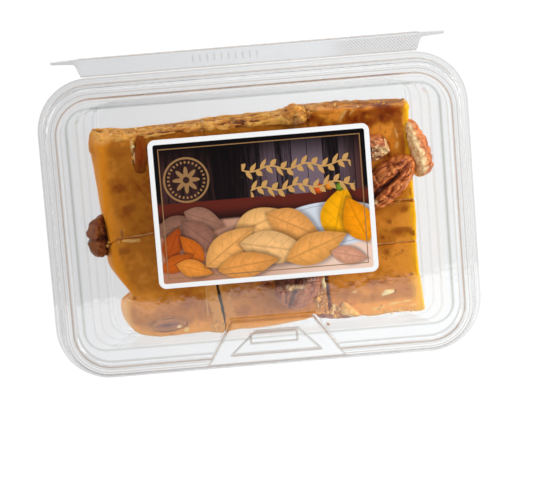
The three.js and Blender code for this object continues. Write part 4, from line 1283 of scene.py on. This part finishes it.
def paintBoards(place, x, y):
    # boards in the upper part, a shelf at mid height, a table below and a plate
    paint = labelColors
    tree = place.id_data
    boardAt = over(x, 6.4)
    boardTone = addNode(tree, "ShaderNodeTexWhiteNoise", {"W": calc("FLOOR", boardAt)}, noise_dimensions="1D")["Value"]
    tone = plus(times(noise(stretched(place, (0.9, 0.07, 1)), 1.0, 4.0, 0.6), 0.6), times(boardTone, 0.4))
    mauveShare = times(times(fade(x, -12.0, 12.0), fade(x, 42.0, 26.0)), fade(tone, 0.25, 0.6))
    boards = layered(
        paint["boardDark"], (fade(tone, 0.3, 0.75), paint["boardBrown"]), (mauveShare, paint["boardMauve"]),
        (fade(absolute(minus(calc("FRACT", boardAt), 0.5)), 0.46, 0.5), paint["edge"]),
        (fade(y, 14.0, 30.0), paint["edge"]))
    shelf = layered(paint["shelfDark"], (fade(y, -3.5, 2.0), paint["shelf"]))
    table = layered(paint["table"], (fade(x, -30.0, 30.0), paint["tableLight"]))
    plateX, plateY = over(minus(x, 27.0), 24.0), over(plus(y, 9.5), 9.5)
    plateAt = plus(times(plateX, plateX), times(plateY, plateY))
    return layered(
        boards, (fade(y, 4.4, 4.0), shelf), (fade(y, -3.2, -4.6), table), (fade(plateAt, 1.0, 0.94), paint["plate"]),
        (ringLine(minus(plateAt, 0.72), 0.05, 0.02, 0.3), paint["edge"]))


def darker(color, share):
    return (*(share * c for c in color[:3]), 1.0)


def garland(x, y, row, height):
    # small leaves along a wavy stem
    stem = minus(y, plus(times(calc("SINE", plus(times(x, 0.42), 1.7 * row)), 0.9), height))
    mask = ringLine(stem, 0.42, 0.25)
    for side in (1, -1):
        spaced = minus(calc("FLOORED_MODULO", plus(x, 1.2 * side), 4.2), 2.1)
        spot = addNode(x.id_data, "ShaderNodeCombineXYZ", {"X": spaced, "Y": stem})[0]
        small = useGroup(printLeaf, {"Vector": spot, "Centre": (0.3, 1.6 * side, 0),
                                     "Turn": math.radians(52 * side), "Length": 4.2, "Width": 1.9})
        mask = higher(mask, small["Mask"])
    return times(mask, times(fade(x, -8.0 + 3 * row, -7.4 + 3 * row), fade(x, 37.0 + row, 36.4 + row)))


def emblem(x, y):
    # a ring and a ring of beads round a rosette
    ex, ey, radius = labelArt["emblem"]
    dx, dy = minus(x, ex), minus(y, ey)
    away, angle = lengthOf(dx, dy), calc("ARCTAN2", dy, dx)
    beads = times(ringLine(minus(away, radius - 1.7), 0.6, 0.4), fade(calc("COSINE", times(angle, 28.0)), 0.0, 0.3))
    petals = minus(plus(times(calc("COSINE", times(angle, 8.0)), 1.5), 4.2), away)
    petal = times(fade(petals, 0.0, 0.25), fade(away, 1.2, 1.5))
    return higher(higher(ringLine(minus(away, radius), 0.5, 0.32), beads), petal)


def labelMaterial():
    paint = labelColors
    material, _, point, shader = newMaterial("labelPrint")
    place = stretched(point, (1000, 1000, 0), (-label["x"], packShift[1] - label["y"], 0))
    xy = splitUp(place)
    x, y = xy["X"], xy["Y"]
    color = paintBoards(place, x, y)
    grain = noise(place, 0.35, 4.0, 0.6)
    for (cx, cy), turn, length, width, shade in labelArt["leaves"]:
        leaf = useGroup(printLeaf, {
            "Vector": place, "Centre": (cx, cy, 0), "Turn": math.radians(turn), "Length": length, "Width": width})
        dark = darker(srgb(*shade), 0.45)
        body = layered(dark, (leaf["Shade"], srgb(*shade)), (times(leaf["Vein"], 0.45), dark),
                       (fade(grain, 0.4, 0.7, 0.0, 0.3), dark))
        color = layered(color, (times(leaf["Shadow"], 0.55), paint["shelfDark"]), (leaf["Mask"], body))
    for (cx, cy), radius, shade in labelArt["berries"]:
        away = addNode(place.id_data, "ShaderNodeVectorMath", {0: place, 1: (cx, cy, 0)}, operation="DISTANCE")["Value"]
        body = layered(darker(srgb(*shade), 0.4), (fade(away, radius, 0.2 * radius), srgb(*shade)))
        color = layered(color, (fade(away, radius, radius - 0.25), body))
    for row, height in enumerate(labelArt["garlands"]):
        color = layered(color, (garland(x, y, row, height), paint["gold"]))
    # dark edge, thin gold line and white border
    outside = insideBox(x, y, label["width"] / 2, label["depth"] / 2, label["radius"])
    color = layered(
        color, (emblem(x, y), paint["goldLine"]),
        (times(fade(outside, -3.9, -3.6), fade(y, 3.0, 6.0)), paint["edge"]),
        (ringLine(plus(outside, 4.1), 0.26, 0.14), paint["goldLine"]), (fade(outside, -2.1, -1.95), paint["paper"]))
    fill(shader, {"Base Color": color, "Roughness": 0.32, "Specular IOR Level": 0.1,
                  "Normal": bump(noise(place, 3.0, 2.0), 0.06, 0.0002)})
    return material


makeLabel(labelMaterial())
print("label made")

# Floor, lights and camera

studio = {
    # half size, height and looks of the floor
    "floorHalf": 2, "floorLow": -0.0006, "floorColor": grey(0.12), "floorGlow": (0.97, 0.985, 1, 1), "glow": 0.95,
    # the world's strength on matt surfaces, straight to the camera, and in reflections low and high up
    "ambient": 0.33, "seen": 1.0, "mirroredLow": 0.55, "mirroredHigh": 0.02,
    # place and aim in metres, size in metres, power in watts
    "lights": {
        "rightPanel": ((0.75, 0.15, 0.42), (0, 0, 0.02), (0.5, 0.7), 6.4),
        "leftPanel": ((-0.75, 0.2, 0.45), (0, 0, 0.02), (0.4, 0.6), 2.2),
        "hingePanel": ((0.1, 0.95, 0.55), (0, 0, 0.02), (1.0, 0.4), 3.0),
        "lockCard": ((0.097, -0.279, 0.6), (0.097, -0.279, 0.0), (0.505, 0.25), 0.594),
    },
    "notMirrored": ("rightPanel",),
}

half, low = studio["floorHalf"], studio["floorLow"]
floorMesh = newPiece("paleFloor", [(-half, -half, low), (half, -half, low), (half, half, low), (-half, half, low)],
                     [(0, 1, 2, 3)])
floorMaterial, _, _, floorShader = newMaterial("paleFloor")
fill(floorShader, {"Base Color": studio["floorColor"], "Roughness": 0.9, "Emission Color": studio["floorGlow"],
                   "Emission Strength": studio["glow"]})
floorMesh.data.materials.append(floorMaterial)

for name, (place, aim, (across, along), power) in studio["lights"].items():
    data = bpy.data.lights.new(name, "AREA")
    data.shape = "RECTANGLE"
    data.size, data.size_y, data.energy = across, along, power
    lamp = bpy.data.objects.new(name, data)
    lamp.visible_glossy = name not in studio["notMirrored"]
    lamp.location = place
    lamp.rotation_mode = "QUATERNION"
    lamp.rotation_quaternion = (Vector(aim) - Vector(place)).to_track_quat("-Z", "Y")
    bpy.context.scene.collection.objects.link(lamp)

world = bpy.data.worlds.new("studio")
world.use_nodes = True
worldTree = world.node_tree
path = addNode(worldTree, "ShaderNodeLightPath")
height = splitUp(addNode(worldTree, "ShaderNodeTexCoord")["Generated"])["Z"]
mirrored = fade(height, 0.25, 0.8, studio["mirroredLow"], studio["mirroredHigh"])
straight = calc("LESS_THAN", plus(path["Glossy Depth"], path["Diffuse Depth"]), 0.5)
strength = addNode(worldTree, "ShaderNodeMix", {0: path["Is Diffuse Ray"], 2: mirrored, 3: studio["ambient"]})[0]
strength = addNode(worldTree, "ShaderNodeMix", {0: straight, 2: strength, 3: studio["seen"]})[0]
fill(worldTree.nodes["Background"], {"Color": (1, 1, 1, 1), "Strength": strength})
bpy.context.scene.world = world

# turns in degrees, middle in pixels, scale in pixels per mm, the rest in mm
shot = {"yaw": 1.0, "tilt": 10.5, "roll": 4.564729, "centre": (261.0345, 216.0736), "scale": 2.437199,
        "distance": 1100.0, "target": (0.0, -4.2, 32.0), "width": 533, "height": 500, "sensor": 36}


def makeCamera():
    yaw, tilt, roll = (math.radians(shot[k]) for k in ("yaw", "tilt", "roll"))
    back = Vector((-math.sin(yaw) * math.cos(tilt), math.sin(tilt), math.cos(yaw) * math.cos(tilt)))
    right = Vector((0, 1, 0)).cross(back).normalized()
    upward = back.cross(right)
    turnedRight = right * math.cos(roll) - upward * math.sin(roll)
    turnedUp = right * math.sin(roll) + upward * math.cos(roll)
    place = (Vector(shot["target"]) + back * shot["distance"]) * mm
    data = bpy.data.cameras.new("photoView")
    data.sensor_width = shot["sensor"]
    data.lens = shot["scale"] * shot["distance"] / shot["width"] * shot["sensor"]
    data.shift_x = (shot["width"] / 2 - shot["centre"][0]) / shot["width"]
    data.shift_y = -(shot["height"] / 2 - shot["centre"][1]) / shot["width"]
    data.clip_start = 0.01
    camera = bpy.data.objects.new("photoView", data)
    camera.matrix_world = Matrix(list(zip((*turnedRight, 0), (*turnedUp, 0), (*back, 0), (*place, 1))))
    bpy.context.scene.collection.objects.link(camera)
    bpy.context.scene.camera = camera


makeCamera()
bpy.context.scene.view_settings.view_transform = "Standard"
print("studio made")
